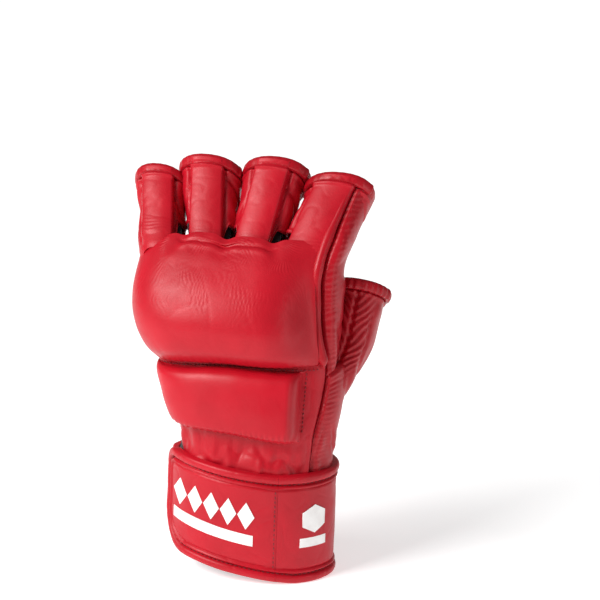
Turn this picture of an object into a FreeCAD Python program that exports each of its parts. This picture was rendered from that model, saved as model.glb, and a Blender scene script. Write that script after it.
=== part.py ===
import FreeCAD, Part
import math
import os
from FreeCAD import Matrix, Vector

os.makedirs("parts", exist_ok=True)

# Open-fingered grappling glove for a left hand, standing on its cuff with the fingers up.
# +Z is up the hand, -Y is the back of the hand, +Y the palm and +X the thumb side.
# The origin is the centre of the wrist opening, in the plane the cuff stands on. Sizes in mm.

# ---- leather and fabric thicknesses
LEATHER = 1.6
LINING = 1.2
BINDING = 1.2            # how far a rolled edge stands proud of the leather
FABRIC_PATCH = 1.0       # hook patch and loop patch
PRINT_FILM = 0.3
SEAM_GAP = 0.3           # room between pieces that move past each other

# ---- cuff and wrist strap
STRAP_HALF_WIDTH = 46.0
STRAP_HALF_DEPTH = 33.0
STRAP_HEIGHT = 61.5
STRAP_THICK = 3.2
PATCH_CLEARANCE = 0.2
STRAP_TO_CUFF = 2 * FABRIC_PATCH + PATCH_CLEARANCE   # room between the strap and the gauntlet
EDGE_WIDTH = 3.6
EDGE_PROUD = 1.0
TIP_START = 36.0         # degrees from the back of the hand towards the thumb
TIP_END = -80.0
BASE_START = 95.0
BASE_END = 276.0
TIP_TOP_RISE = 5.0       # degrees that the free end rises at its top and bottom edges
TIP_BOTTOM_RISE = 8.5
TIP_RISE_X = 31.0        # where the bottom edge leaves the plane that the cuff stands on
TIP_CORNER = 15.0
PATCH_START = TIP_END + 14.0     # headings of the hook patch's ends
PATCH_END = TIP_START - 18.0
HINGE_ANGLE_GAP = 0.6
GAUNTLET_BOTTOM = 6.0
GAUNTLET_TOP = STRAP_HEIGHT + 2.5
ELASTIC_FROM = 252.0
ELASTIC_TO = 282.0

PATCH_BOTTOM = 18.0
PATCH_TOP = STRAP_HEIGHT - 7.5
LOOP_MARGIN = 4.0        # how far the loop patch reaches past the hook patch
LOOP_TURN = 6.0          # the same in degrees round the wrist
HEM_PROUD = 0.4
BACKING_DROP = 4.0       # the base strap's backing stops this far above its bottom edge

# ---- printed marks on the strap
SIDE_PRINT_HEADING = 66.0
SIDE_PRINT_Z = 36.0
SIDE_PRINT_SIZE = 8.0
SIDE_BAR_HALF_HEIGHT = 2.6
SIDE_BAR_DROP = 5.0
DIAMOND = 5.4
DIAMOND_GAP = 1.2
PRINT_LEFT_X = STRAP_HALF_WIDTH * -0.78
PRINT_Z = 47.0
PRINT_COLUMNS = 4

# ---- hand
WRIST_Z = GAUNTLET_TOP + 16.0
HAND_LENGTH = 98.0       # from the wrist to the knuckles
KNUCKLE_Z = WRIST_Z + HAND_LENGTH
FORM_TOP = KNUCKLE_Z + 8.0
WRIST_HALF_WIDTH = 43.0
KNUCKLE_HALF_WIDTH = 55.5
WRIST_HALF_DEPTH = 26.0
KNUCKLE_HALF_DEPTH = 17.0
WRIST_X = 2.5
KNUCKLE_X = -12.5
KNUCKLE_Y = 14.0
RADIAL_SEAM_X = 37.4
WELT_WIDTH = 4.0
WELT_PROUD = 4.0

# ---- pads on the back of the hand
PAD_SEAM_Z = WRIST_Z + 0.4 * HAND_LENGTH     # the seam between the two pads
PAD_SEAM_WIDTH = 2.0
KNUCKLE_PAD = {"low": PAD_SEAM_Z, "high": FORM_TOP + 1.0, "thick": 20.0, "edge": 2.0, "side": 1.5}
METACARPAL_HIGH = PAD_SEAM_Z - PAD_SEAM_WIDTH
METACARPAL_PAD = {"low": WRIST_Z + 4.0, "high": METACARPAL_HIGH, "thick": 11.0, "edge": 2.0, "side": 1.5}
METACARPAL_PAD_X = RADIAL_SEAM_X - 7.4

# ---- palm
OPENING_X = -8.0
OPENING_Z = WRIST_Z + 0.4 * HAND_LENGTH
OPENING_HALF_WIDTH = 25.0
OPENING_HALF_HEIGHT = 31.0
OPENING_BINDING = 3.5
EDGE_TURN = 0.5          # how far a rolled edge stands inside the lining
GRIP_BELOW_FOLD = 16.5
GRIP_FROM_X = -46.0
GRIP_TO_X = 4.0
GRIP_SLOPE = 4.0
GRIP_SIZE = 4.0

# ---- fingers: all four fold about one line under the knuckles
FOLD_Y = KNUCKLE_Y
FOLD_Z = KNUCKLE_Z - 6.0
FINGER_MIN = -12.0
FINGER_MAX = 40.0
FINGER_HALF_DEPTH = 13.0
STRIP_PROUD = 3.0
STRIP_HALF_WIDTH = 7.5
MOUTH_BINDING = 4.6
SHEATH_START = 1.5       # where a sheath begins, measured from its fold
STRIP_START = 3.0        # where its raised strip begins, measured from there
ELBOW_SHARE = 0.7        # how far the pleated root reaches behind the fold, as a share of its radius
# place and root are shares of the knuckles' half width, so that the four sheaths stay in a row
FINGERS = {
    "little": {"place": -0.775, "fan": -19.0, "tilt": 40.0, "length": 37.0, "root": 0.196, "flare": 2.4},
    "ring": {"place": -0.333, "fan": -9.0, "tilt": 36.0, "length": 43.0, "root": 0.212, "flare": 3.2},
    "middle": {"place": 0.126, "fan": 6.0, "tilt": 34.0, "length": 45.0, "root": 0.216, "flare": 3.8},
    "index": {"place": 0.685, "fan": 13.5, "tilt": 37.0, "length": 40.0, "root": 0.284, "flare": 1.2},
}

# ---- thumb
THUMB_HALF = 16.0
THUMB_ROOT = Vector(WRIST_HALF_WIDTH + 1.0, 18.0, WRIST_Z + 0.75 * THUMB_HALF)
THUMB_DIRECTION = Vector(0.10, 0.29, 0.95)
THUMB_FOLD_AXIS = Vector(-0.90, -0.40, 0.20)
THUMB_LENGTH = 60.0
THUMB_MOUTH_HALF = 15.2
THUMB_MIN = -15.0
THUMB_MAX = 25.0

FAR = 120.0              # larger than any piece, for cutting tools
CRUMB_SHARE = 0.02       # of a panel's volume, below which a loose bit of it is a crumb


# ---------------------------------------------------------------- plain tools
def save(name, shape):
    """Write a shape as one node."""
    shape.exportStep(os.path.join("parts", name + ".step"))


def main_solid(shape):
    """The largest solid of a cut, without its crumbs."""
    solids = sorted(shape.Solids, key=lambda solid: solid.Volume)
    return solids[-1]


def without_crumbs(shape):
    """All that a cut leaves but its crumbs: a panel stays whole, or is divided by what passes through it."""
    least = CRUMB_SHARE * main_solid(shape).Volume
    kept = [solid for solid in shape.Solids if solid.Volume > least]
    return kept[0] if len(kept) == 1 else Part.makeCompound(kept)


def block(x0, x1, y0, y1, z0, z1):
    """A box between two corners."""
    return Part.makeBox(x1 - x0, y1 - y0, z1 - z0, Vector(x0, y0, z0))


def ellipse_wire(centre, across, along, half_across, half_along):
    """A closed oval with its half sizes along two perpendicular directions."""
    normal = across.cross(along)
    oval = Part.Ellipse(Vector(0, 0, 0), max(half_across, half_along), min(half_across, half_along))
    major, minor = (across, along) if half_across >= half_along else (along, across * -1.0)
    place = Matrix(
        major.x, minor.x, normal.x, centre.x,
        major.y, minor.y, normal.y, centre.y,
        major.z, minor.z, normal.z, centre.z,
        0, 0, 0, 1,
    )
    edge = oval.toShape()
    edge.Placement = FreeCAD.Placement(place)
    return Part.Wire([edge])


def extruded(points, direction):
    """A flat outline pushed along a direction."""
    return Part.Face(Part.makePolygon(points + [points[0]])).extrude(direction)


# ---------------------------------------------------------------- cuff and strap
def oval_column(half_width, half_depth, low, high):
    wire = ellipse_wire(Vector(0, 0, low), Vector(1, 0, 0), Vector(0, 1, 0), half_width, half_depth)
    return Part.Face(wire).extrude(Vector(0, 0, high - low))


def oval_ring(outset, wall, low, high):
    """A ring round the wrist whose outer face stands outset from the strap's outer face."""
    a = STRAP_HALF_WIDTH + outset
    b = STRAP_HALF_DEPTH + outset
    return oval_column(a, b, low, high).cut(oval_column(a - wall, b - wall, low, high))


def heading(angle):
    """Direction from the wrist's centre, in degrees from the back of the hand to the thumb."""
    turn = math.radians(angle)
    return Vector(math.sin(turn), -math.cos(turn), 0)


def rim_point(angle, outset=0.0):
    """Point on the strap's outer oval in a heading."""
    a = STRAP_HALF_WIDTH + outset
    b = STRAP_HALF_DEPTH + outset
    way = heading(angle)
    return way * (1.0 / math.hypot(way.x / a, way.y / b))


def sector(start, end):
    """The wedge of space between two headings."""
    steps = max(1, math.ceil((end - start) / 45.0))
    corners = [Vector(0, 0, -FAR)]
    for step in range(steps + 1):
        corners.append(heading(start + (end - start) * step / steps) * FAR + Vector(0, 0, -FAR))
    return extruded(corners, Vector(0, 0, 3 * FAR))


def below_slope(height, from_x, rise):
    """The space under a plane that rises towards -X."""
    gain = math.tan(math.radians(rise))
    left, right = -FAR, FAR
    points = [
        Vector(left, -FAR, -FAR),
        Vector(right, -FAR, -FAR),
        Vector(right, -FAR, height + (from_x - right) * gain),
        Vector(left, -FAR, height + (from_x - left) * gain),
    ]
    return extruded(points, Vector(0, 2 * FAR, 0))


def tip_region(inset):
    """The space of the strap's free end, drawn in from its edges by inset."""
    end = TIP_END + math.degrees(inset / STRAP_HALF_WIDTH)
    start = TIP_START - HINGE_ANGLE_GAP / 2
    stitch_x = rim_point(TIP_START).x
    space = sector(end, start).common(below_slope(STRAP_HEIGHT - inset, stitch_x, TIP_TOP_RISE))
    space = space.cut(below_slope(inset, TIP_RISE_X, TIP_BOTTOM_RISE))
    end_y = rim_point(end).y
    end_x = rim_point(end).x
    radius = TIP_CORNER - inset
    top = STRAP_HEIGHT - inset + (stitch_x - end_x) * math.tan(math.radians(TIP_TOP_RISE))
    bottom = inset + (TIP_RISE_X - end_x) * math.tan(math.radians(TIP_BOTTOM_RISE))
    for corner_z, way in ((top, 1), (bottom, -1)):
        middle_z = corner_z - way * radius
        low = min(middle_z, middle_z + way * 3 * radius)
        corner = block(-FAR, 0, end_y - radius, end_y + FAR, low, low + 3 * radius)
        round_end = Part.makeCylinder(
            radius, FAR, Vector(-FAR, end_y - radius, middle_z), Vector(1, 0, 0)
        )
        space = space.cut(corner.cut(round_end))
    return space


def make_cuff():
    gauntlet_out = -STRAP_THICK - STRAP_TO_CUFF
    elastic = sector(ELASTIC_FROM, ELASTIC_TO)
    gauntlet = oval_ring(gauntlet_out, LEATHER, GAUNTLET_BOTTOM, GAUNTLET_TOP)
    save("gauntlet_shell", gauntlet.cut(elastic))
    save("cuff_elastic", gauntlet.common(elastic))
    save("gauntlet_lining", oval_ring(gauntlet_out - LEATHER, LINING, GAUNTLET_BOTTOM, GAUNTLET_TOP))
    hem_low = GAUNTLET_BOTTOM - EDGE_WIDTH
    hem_wall = LEATHER + LINING + 2 * HEM_PROUD
    save("gauntlet_hem", oval_ring(gauntlet_out + HEM_PROUD, hem_wall, hem_low, GAUNTLET_BOTTOM))
    loop_low, loop_high = PATCH_BOTTOM - LOOP_MARGIN, PATCH_TOP + LOOP_MARGIN
    loop_region = sector(PATCH_START - LOOP_TURN, PATCH_END + LOOP_TURN)
    loop = oval_ring(gauntlet_out + FABRIC_PATCH, FABRIC_PATCH, loop_low, loop_high)
    save("loop_patch", loop.common(loop_region))

    base = sector(BASE_START, BASE_END)
    low, high = EDGE_WIDTH, STRAP_HEIGHT - EDGE_WIDTH
    save("strap_base_panel", oval_ring(0, STRAP_THICK, low, high).common(base))
    backing = oval_ring(-STRAP_THICK, STRAP_TO_CUFF, low + BACKING_DROP, high)
    save("strap_base_backing", backing.common(base))
    edge = STRAP_THICK + EDGE_PROUD
    save("strap_base_top_edge", oval_ring(EDGE_PROUD, edge, high, STRAP_HEIGHT).common(base))
    save("strap_base_bottom_edge", oval_ring(EDGE_PROUD, edge, 0, low).common(base))


def make_strap_wrap():
    region = sector(TIP_START + HINGE_ANGLE_GAP / 2, BASE_START - HINGE_ANGLE_GAP)
    under_edge = below_slope(0, TIP_RISE_X, TIP_BOTTOM_RISE)
    under_panel = below_slope(EDGE_WIDTH, TIP_RISE_X, TIP_BOTTOM_RISE)
    low, high = EDGE_WIDTH, STRAP_HEIGHT - EDGE_WIDTH
    edge = STRAP_THICK + EDGE_PROUD
    panel = oval_ring(0, STRAP_THICK, low, high).common(region).cut(under_panel)
    save("strap_wrap_panel", panel)
    save("strap_wrap_top_edge", oval_ring(EDGE_PROUD, edge, high, STRAP_HEIGHT).common(region))
    bottom = oval_ring(EDGE_PROUD, edge, 0, 3 * low).common(region)
    bottom = bottom.cut(under_edge).common(under_panel)
    low_part = block(-FAR, FAR, -FAR, FAR, 0, low)
    save("strap_wrap_bottom_edge", main_solid(bottom.common(low_part.fuse(under_panel))))
    facing = heading(SIDE_PRINT_HEADING)
    film = oval_ring(PRINT_FILM, PRINT_FILM, low, high)
    shapes = [hexagon_prism(facing, SIDE_PRINT_Z, SIDE_PRINT_SIZE)]
    bar_z = SIDE_PRINT_Z - SIDE_PRINT_SIZE - SIDE_BAR_DROP
    shapes.append(bar_prism(facing, bar_z, SIDE_PRINT_SIZE, SIDE_BAR_HALF_HEIGHT))
    save("side_print", Part.makeCompound([film.common(shape) for shape in shapes]))


def hexagon_prism(facing, height, size):
    """A six-sided column looking out from the wrist in a heading."""
    side = Vector(-facing.y, facing.x, 0)
    points = []
    for step in range(6):
        turn = math.radians(60 * step + 30)
        points.append(side * (size * math.cos(turn)) + Vector(0, 0, height + size * math.sin(turn)))
    return extruded(points, facing * FAR)


def bar_prism(facing, height, half_length, half_height):
    side = Vector(-facing.y, facing.x, 0)
    points = []
    for along, up in ((-1, -1), (1, -1), (1, 1), (-1, 1)):
        points.append(side * (along * half_length) + Vector(0, 0, height + up * half_height))
    return extruded(points, facing * FAR)


def diamond_prism(x, z, size):
    points = [Vector(x - size, 0, z), Vector(x, 0, z - size), Vector(x + size, 0, z), Vector(x, 0, z + size)]
    return extruded(points, Vector(0, -FAR, 0))


def make_strap_tip():
    outer = tip_region(0)
    inner = tip_region(EDGE_WIDTH)
    edge = STRAP_THICK + EDGE_PROUD
    save("strap_tip_panel", oval_ring(0, STRAP_THICK, 0, 2 * FAR).common(inner))
    band = oval_ring(EDGE_PROUD, edge, 0, 2 * FAR).common(outer)
    save("strap_tip_edge", main_solid(band.cut(inner)))
    patch = oval_ring(-STRAP_THICK, FABRIC_PATCH, PATCH_BOTTOM, PATCH_TOP)
    save("hook_patch", patch.common(sector(PATCH_START, PATCH_END)))
    film = oval_ring(PRINT_FILM, PRINT_FILM, EDGE_WIDTH, STRAP_HEIGHT)
    slope = math.tan(math.radians(TIP_BOTTOM_RISE))
    marks = []
    for row in range(2):
        for column in range(PRINT_COLUMNS):
            x = PRINT_LEFT_X + (column + 0.5 * row) * (2 * DIAMOND + DIAMOND_GAP)
            z = PRINT_Z - row * (DIAMOND + DIAMOND_GAP / 2) - (x - PRINT_LEFT_X) * slope
            marks.append(film.common(diamond_prism(x, z, DIAMOND)))
    save("strap_print", Part.makeCompound(marks))


# ---------------------------------------------------------------- hand form
def form_at(z, outset=0.0, dorsal=0.0, side=0.0):
    """One level section of the hand: an oval, swollen by outset, and by dorsal towards the back."""
    u = (z - WRIST_Z) / (KNUCKLE_Z - WRIST_Z)
    ease = math.sin(math.radians(90 * min(u, 1.0)))
    a = WRIST_HALF_WIDTH + (KNUCKLE_HALF_WIDTH - WRIST_HALF_WIDTH) * ease + outset + side
    b = WRIST_HALF_DEPTH + (KNUCKLE_HALF_DEPTH - WRIST_HALF_DEPTH) * u + outset + dorsal
    x = WRIST_X + (KNUCKLE_X - WRIST_X) * ease
    y = KNUCKLE_Y * max(u, 0.0) ** 1.4
    return ellipse_wire(Vector(x, y, z), Vector(1, 0, 0), Vector(0, 1, 0), a, b)


def hand_form(outset=0.0):
    steps = 6
    levels = [WRIST_Z + (FORM_TOP - WRIST_Z) * step / steps for step in range(steps + 1)]
    return Part.makeLoft([form_at(z, outset) for z in levels], True, False)


def pad_form(pad, inset):
    """A puffed loaf round the hand: thin at its two ends and full between them."""
    low, high = pad["low"] + inset, pad["high"] - inset
    wires = []
    for v in (0.0, 0.07, 0.2, 0.4, 0.6, 0.8, 0.93, 1.0):
        fullness = (1 - abs(2 * v - 1) ** 2.6) ** 0.6
        thick = pad["edge"] + (pad["thick"] - pad["edge"]) * fullness - inset
        wires.append(form_at(low + (high - low) * v, 0.0, thick, pad["side"] - inset * 0.5))
    return Part.makeLoft(wires, True, False)


def side_space(dorsal, shift=0.0):
    """The space on the dorsal or palmar side of the seam along the little-finger edge."""
    slope = KNUCKLE_Y / (KNUCKLE_Z - WRIST_Z)
    low_y = shift - (WRIST_Z + FAR) * slope
    high_y = shift + (3 * FAR - WRIST_Z) * slope
    far_y = -FAR if dorsal else FAR
    points = [
        Vector(-FAR, low_y, -FAR),
        Vector(-FAR, high_y, 3 * FAR),
        Vector(-FAR, far_y, 3 * FAR),
        Vector(-FAR, far_y, -FAR),
    ]
    return extruded(points, Vector(2 * FAR, 0, 0))


def swing_room(root, axis, way, low_angle, high_angle, back_half, front_half, half_length, clear):
    """The space that a tube sweeps as it folds about an axis through its root.

    way is the tube's direction at rest. A positive angle turns it about axis, towards front."""
    front = axis.cross(way)
    back_r, front_r = back_half + clear, front_half + clear

    def turned(angle):
        t = math.radians(angle)
        along = way * math.cos(t) + front * math.sin(t)
        out = front * math.cos(t) - way * math.sin(t)
        return along, out

    low_along, low_out = turned(low_angle)
    high_along, high_out = turned(high_angle)
    p_low = root - low_out * back_r
    p_high = root + high_out * front_r
    base = axis * -half_length
    low_end, high_end = p_low + low_along * FAR, p_high + high_along * FAR
    wedge = [root, p_low, low_end, root + way * (1.6 * FAR), high_end, p_high]
    room = extruded([point + base for point in wedge], axis * (2 * half_length))
    ball = Part.makeCylinder(front_r, 2 * half_length, root + base, axis)
    room = room.fuse(ball)
    if back_r > front_r + 0.01:
        drum = Part.makeCylinder(back_r, 2 * half_length, root + base, axis)
        half = [root, root + way * FAR, root + way * FAR - front * FAR, root - front * FAR]
        room = room.fuse(drum.common(extruded([point + base for point in half], axis * (2 * half_length))))
    return room


def finger_way(tilt):
    turn = math.radians(tilt)
    return Vector(0, math.sin(turn), math.cos(turn))


FOLD_AXIS = Vector(-1, 0, 0)


def finger_room():
    """The room of all four fingers, which fold about one line."""
    tilts = [finger["tilt"] for finger in FINGERS.values()]
    middle = (min(tilts) + max(tilts)) / 2
    low = FINGER_MIN - (middle - min(tilts))
    high = FINGER_MAX + (max(tilts) - middle)
    root = Vector(KNUCKLE_X, FOLD_Y, FOLD_Z)
    back = FINGER_HALF_DEPTH + STRIP_PROUD
    return swing_room(
        root, FOLD_AXIS, finger_way(middle), low, high, back, FINGER_HALF_DEPTH + BINDING, FAR, 2 * SEAM_GAP
    )


def thumb_frame():
    way = Vector(THUMB_DIRECTION).normalize()
    axis = THUMB_FOLD_AXIS - way * THUMB_FOLD_AXIS.dot(way)
    return way, axis.normalize()


def thumb_room():
    way, axis = thumb_frame()
    half = THUMB_HALF + BINDING
    clear = 2 * SEAM_GAP
    return swing_room(THUMB_ROOT, axis, way, THUMB_MIN, THUMB_MAX, half, half, half + clear, clear)


def opening_column(inset):
    centre = Vector(OPENING_X, 0, OPENING_Z)
    wire = ellipse_wire(
        centre, Vector(0, 0, 1), Vector(1, 0, 0), OPENING_HALF_HEIGHT - inset, OPENING_HALF_WIDTH - inset
    )
    return Part.Face(wire).extrude(Vector(0, FAR, 0))


def make_hand():
    skin = hand_form()
    inside = hand_form(-LEATHER)
    core = hand_form(-LEATHER - LINING)
    shell = skin.cut(inside)
    dorsal = side_space(True)
    palmar = side_space(False)
    rooms = finger_room().fuse(thumb_room())
    thumb_side = block(RADIAL_SEAM_X, FAR, -FAR, FAR, 0, 2 * FAR)
    opening = opening_column(0)

    shell = shell.cut(rooms)
    hand_side = shell.cut(thumb_side)
    save("back_panel", main_solid(hand_side.common(dorsal)))
    save("palm_panel", main_solid(hand_side.common(palmar).cut(opening)))
    save("thumb_side_panel", without_crumbs(shell.common(thumb_side)))
    save("hand_lining", main_solid(inside.cut(core).cut(rooms).cut(opening)))

    edge_outside = hand_form(BINDING)
    edge_inside = hand_form(-LEATHER - LINING - EDGE_TURN)
    hoop = opening.cut(opening_column(OPENING_BINDING))
    binding = edge_outside.cut(edge_inside).common(hoop).cut(rooms).common(palmar)
    save("palm_opening_binding", main_solid(binding))

    welt_space = block(RADIAL_SEAM_X - WELT_WIDTH, RADIAL_SEAM_X, -FAR, FAR, KNUCKLE_PAD["low"], FORM_TOP)
    welt = hand_form(WELT_PROUD).cut(skin).common(welt_space).common(dorsal).cut(rooms)
    save("pad_edge_welt", main_solid(welt))

    pad_limit = block(-FAR, RADIAL_SEAM_X - WELT_WIDTH, -FAR, FAR, 0, 2 * FAR)
    short_limit = block(-FAR, METACARPAL_PAD_X, -FAR, FAR, 0, 2 * FAR)
    for name, pad, limit in (
        ("knuckle", KNUCKLE_PAD, pad_limit),
        ("metacarpal", METACARPAL_PAD, short_limit),
    ):
        whole = pad_form(pad, 0).common(limit).common(dorsal).cut(skin).cut(rooms)
        inner_limit = limit.copy()
        inner_limit.translate(Vector(-LEATHER, 0, 0))
        foam = pad_form(pad, LEATHER).common(inner_limit).common(side_space(True, -LEATHER))
        foam = main_solid(foam.cut(skin).cut(rooms))
        save(name + "_foam", foam)
        save(name + "_cover", main_solid(whole.cut(foam)))

    slope = math.tan(math.radians(GRIP_SLOPE))
    points = []
    for x, up in ((GRIP_FROM_X, 0), (GRIP_TO_X, 0), (GRIP_TO_X, 1), (GRIP_FROM_X, 1)):
        points.append(Vector(x, 0, FOLD_Z - GRIP_BELOW_FOLD + up * GRIP_SIZE - (GRIP_TO_X - x) * slope))
    bar = hand_form(GRIP_SIZE).cut(skin).common(extruded(points, Vector(0, FAR, 0)))
    save("grip_bar", main_solid(bar.cut(rooms)))


def make_wrist_sleeve():
    """The gathered leather and the elastic inside it, between the gauntlet and the hand."""
    low = GAUNTLET_TOP + SEAM_GAP
    high = WRIST_Z - SEAM_GAP
    cuff_a = STRAP_HALF_WIDTH - STRAP_THICK - STRAP_TO_CUFF
    cuff_b = STRAP_HALF_DEPTH - STRAP_THICK - STRAP_TO_CUFF

    def sleeve(inset):
        wires = []
        for share, bulge in ((0.0, 0.0), (0.5, 0.8), (1.0, 0.0)):
            a = cuff_a + (WRIST_HALF_WIDTH - cuff_a) * share + bulge - inset
            b = cuff_b + (WRIST_HALF_DEPTH - cuff_b) * share + bulge - inset
            centre = Vector(WRIST_X * share, 0, low + (high - low) * share)
            wires.append(ellipse_wire(centre, Vector(1, 0, 0), Vector(0, 1, 0), a, b))
        return Part.makeLoft(wires, True, False)

    outer, middle, inner = sleeve(0), sleeve(LEATHER), sleeve(LEATHER + LINING)
    save("wrist_sleeve", outer.cut(middle))
    save("wrist_elastic", middle.cut(inner))


# ---------------------------------------------------------------- fingers and thumb
def tube_loft(root, way, axis, drift, sizes, low, high, length):
    """A tube along way from low to high, its oval sections square to way.

    drift moves the sections along axis. sizes are the half widths along axis and the half
    depths across it, at the root and at the mouth."""
    across = axis.cross(way)
    (root_w, root_d), (mouth_w, mouth_d) = sizes
    wires = []
    for at in (low, high):
        share = at / length
        centre = root + way * at + axis * (drift * at)
        half_w = root_w + (mouth_w - root_w) * share
        half_d = root_d + (mouth_d - root_d) * share
        wires.append(ellipse_wire(centre, axis, across, half_w, half_d))
    return Part.makeLoft(wires, True, True)


def grown(sizes, outset):
    return [(w + outset, d + outset) for w, d in sizes]


def elbow(root, way, axis, half_length, radius, start):
    """The pleated leather about the fold: a short hollow drum, open to the finger and the hand."""
    ends = axis * -half_length
    drum = Part.makeCylinder(radius, 2 * half_length, root + ends, axis)
    inner_half = half_length - LEATHER
    hollow = Part.makeCylinder(radius - LEATHER, 2 * inner_half, root + axis * -inner_half, axis)
    across = axis.cross(way)
    low = -ELBOW_SHARE * radius
    corners = []
    for along, side in ((low, -1), (start, -1), (start, 1), (low, 1)):
        corners.append(root + way * along + across * (side * FAR) + axis * -FAR)
    slab = extruded(corners, axis * (2 * FAR))
    return main_solid(drum.cut(hollow).common(slab))


def make_digit(name, root, way, axis, drift, sizes, length, strip):
    start = SHEATH_START
    leather_end = length - MOUTH_BINDING
    args = (root, way, axis, drift)
    outer = tube_loft(*args, sizes, start, leather_end, length)
    middle = tube_loft(*args, grown(sizes, -LEATHER), start, leather_end, length)
    inner = tube_loft(*args, grown(sizes, -LEATHER - LINING), start, leather_end, length)
    save(name + "_sheath", outer.cut(middle))
    save(name + "_lining", middle.cut(inner))
    ring_out = tube_loft(*args, grown(sizes, BINDING), leather_end, length, length)
    ring_in = tube_loft(*args, grown(sizes, -LEATHER - LINING - EDGE_TURN), leather_end, length, length)
    save(name + "_mouth_binding", ring_out.cut(ring_in))
    save(name + "_root_gusset", elbow(root, way, axis, sizes[0][0], sizes[0][1], start - SEAM_GAP))
    if strip:
        across = axis.cross(way)
        corners = []
        for along in (start + STRIP_START, leather_end):
            for side in (-1, 1):
                centre = root + way * along + axis * (drift * along)
                corners.append(centre + axis * (side * STRIP_HALF_WIDTH))
        outline = [corners[0], corners[1], corners[3], corners[2]]
        column = extruded(outline, across * -FAR)
        raised = tube_loft(*args, grown(sizes, STRIP_PROUD), start, leather_end, length)
        save(name + "_pad_strip", main_solid(raised.cut(outer).common(column)))


def make_fingers():
    for name, finger in FINGERS.items():
        root = Vector(KNUCKLE_X + finger["place"] * KNUCKLE_HALF_WIDTH, FOLD_Y, FOLD_Z)
        half = finger["root"] * KNUCKLE_HALF_WIDTH
        sizes = [(half, FINGER_HALF_DEPTH), (half + finger["flare"], FINGER_HALF_DEPTH)]
        drift = -math.tan(math.radians(finger["fan"]))
        make_digit(name, root, finger_way(finger["tilt"]), FOLD_AXIS, drift, sizes, finger["length"], True)


def make_thumb():
    way, axis = thumb_frame()
    sizes = [(THUMB_HALF, THUMB_HALF), (THUMB_MOUTH_HALF, THUMB_MOUTH_HALF)]
    make_digit("thumb", THUMB_ROOT, way, axis, 0.0, sizes, THUMB_LENGTH, False)


make_cuff()
make_strap_wrap()
make_strap_tip()
make_wrist_sleeve()
make_hand()
make_fingers()
make_thumb()
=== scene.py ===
import math

import bpy
import numpy as np
from mathutils import Matrix, Vector


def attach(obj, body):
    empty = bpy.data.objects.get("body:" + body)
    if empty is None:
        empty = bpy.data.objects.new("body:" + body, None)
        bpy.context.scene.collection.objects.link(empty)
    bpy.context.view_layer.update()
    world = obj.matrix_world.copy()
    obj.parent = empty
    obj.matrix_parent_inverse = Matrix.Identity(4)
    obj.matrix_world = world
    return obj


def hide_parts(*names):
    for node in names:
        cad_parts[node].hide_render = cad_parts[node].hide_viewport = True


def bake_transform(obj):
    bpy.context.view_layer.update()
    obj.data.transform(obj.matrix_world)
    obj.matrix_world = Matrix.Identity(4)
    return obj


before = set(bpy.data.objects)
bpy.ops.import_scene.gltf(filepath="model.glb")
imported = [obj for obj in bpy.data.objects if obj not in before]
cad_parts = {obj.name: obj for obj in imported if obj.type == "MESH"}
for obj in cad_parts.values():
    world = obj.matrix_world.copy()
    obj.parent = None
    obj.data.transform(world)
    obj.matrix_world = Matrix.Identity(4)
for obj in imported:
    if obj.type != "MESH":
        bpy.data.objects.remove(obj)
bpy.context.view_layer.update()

MM = 0.001

# ------------------------------------------------------------------ sizes, in millimetres
LEATHER = 1.3
LINING_GAP = 2.2
SQUARENESS = 2.25        # 2 is an ellipse, more is boxier

# hand form, level by level
CUFF_TOP, CUFF_TOP_HALF = 62.0, (42.2, 29.0)
WRIST_Z, WRIST_HALF, WRIST_X = 80.0, (43.0, 26.0), 2.5
KNUCKLE_Z, KNUCKLE_HALF, KNUCKLE_X, KNUCKLE_Y = 178.0, (55.5, 17.0), -12.5, 14.0
SKIN_LOW, SKIN_TOP, PALM_TOP, SIDE_TOP = 57.0, 176.0, 167.5, 205.2
ULNAR_SEAM = -95.0       # degrees round the hand from the middle of its back, positive to the thumb
SIDE_SEAM = 130.0
THUMB_SEAM_Z = 113.0     # where the thumb gusset is sewn across the side panel

# knuckle pad and metacarpal pad: (share of the height, thickness) up the middle of each
KNUCKLE_PROFILE = [(0.0, 0.3), (-0.01, 3.6), (0.025, 8.6), (0.13, 15.6), (0.34, 20.0), (0.6, 17.5),
                   (0.82, 9.5), (0.94, 2.8), (1.0, -2.4)]
METACARPAL_PROFILE = [(0.0, 0.3), (-0.03, 3.5), (0.02, 7.4), (0.13, 9.6), (0.5, 10.4), (0.87, 9.6),
                      (0.99, 6.9), (1.02, 3.2), (1.0, 0.3)]
PAD_LOW, PAD_TOP, PAD_ULNAR_END = 119.5, 183.0, -88.0
BAR_LOW, BAR_RADIAL_X, BAR_HEIGHT = 81.5, 29.8, 33.0
PAD_GAP, BAR_GAP = 1.6, 3.6               # from the knuckle pad to the welt, and from the bar to the pad
STRIP_SEAM_Z = 179.9                      # the seam that crosses the pad under the finger strips
CROTCHES = [(-43.2, 180.0), (-18.6, 184.0), (7.8, 183.5)]

# palm opening and grip
OPENING = {"x": -8.0, "z": 119.0, "half_x": 25.0, "half_z": 31.0}
GRIP = [(-47.0, 0.5), (-30.0, 0.2), (-12.0, -1.6), (3.0, -4.5)]
GRIP_Z = 160.0

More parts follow.
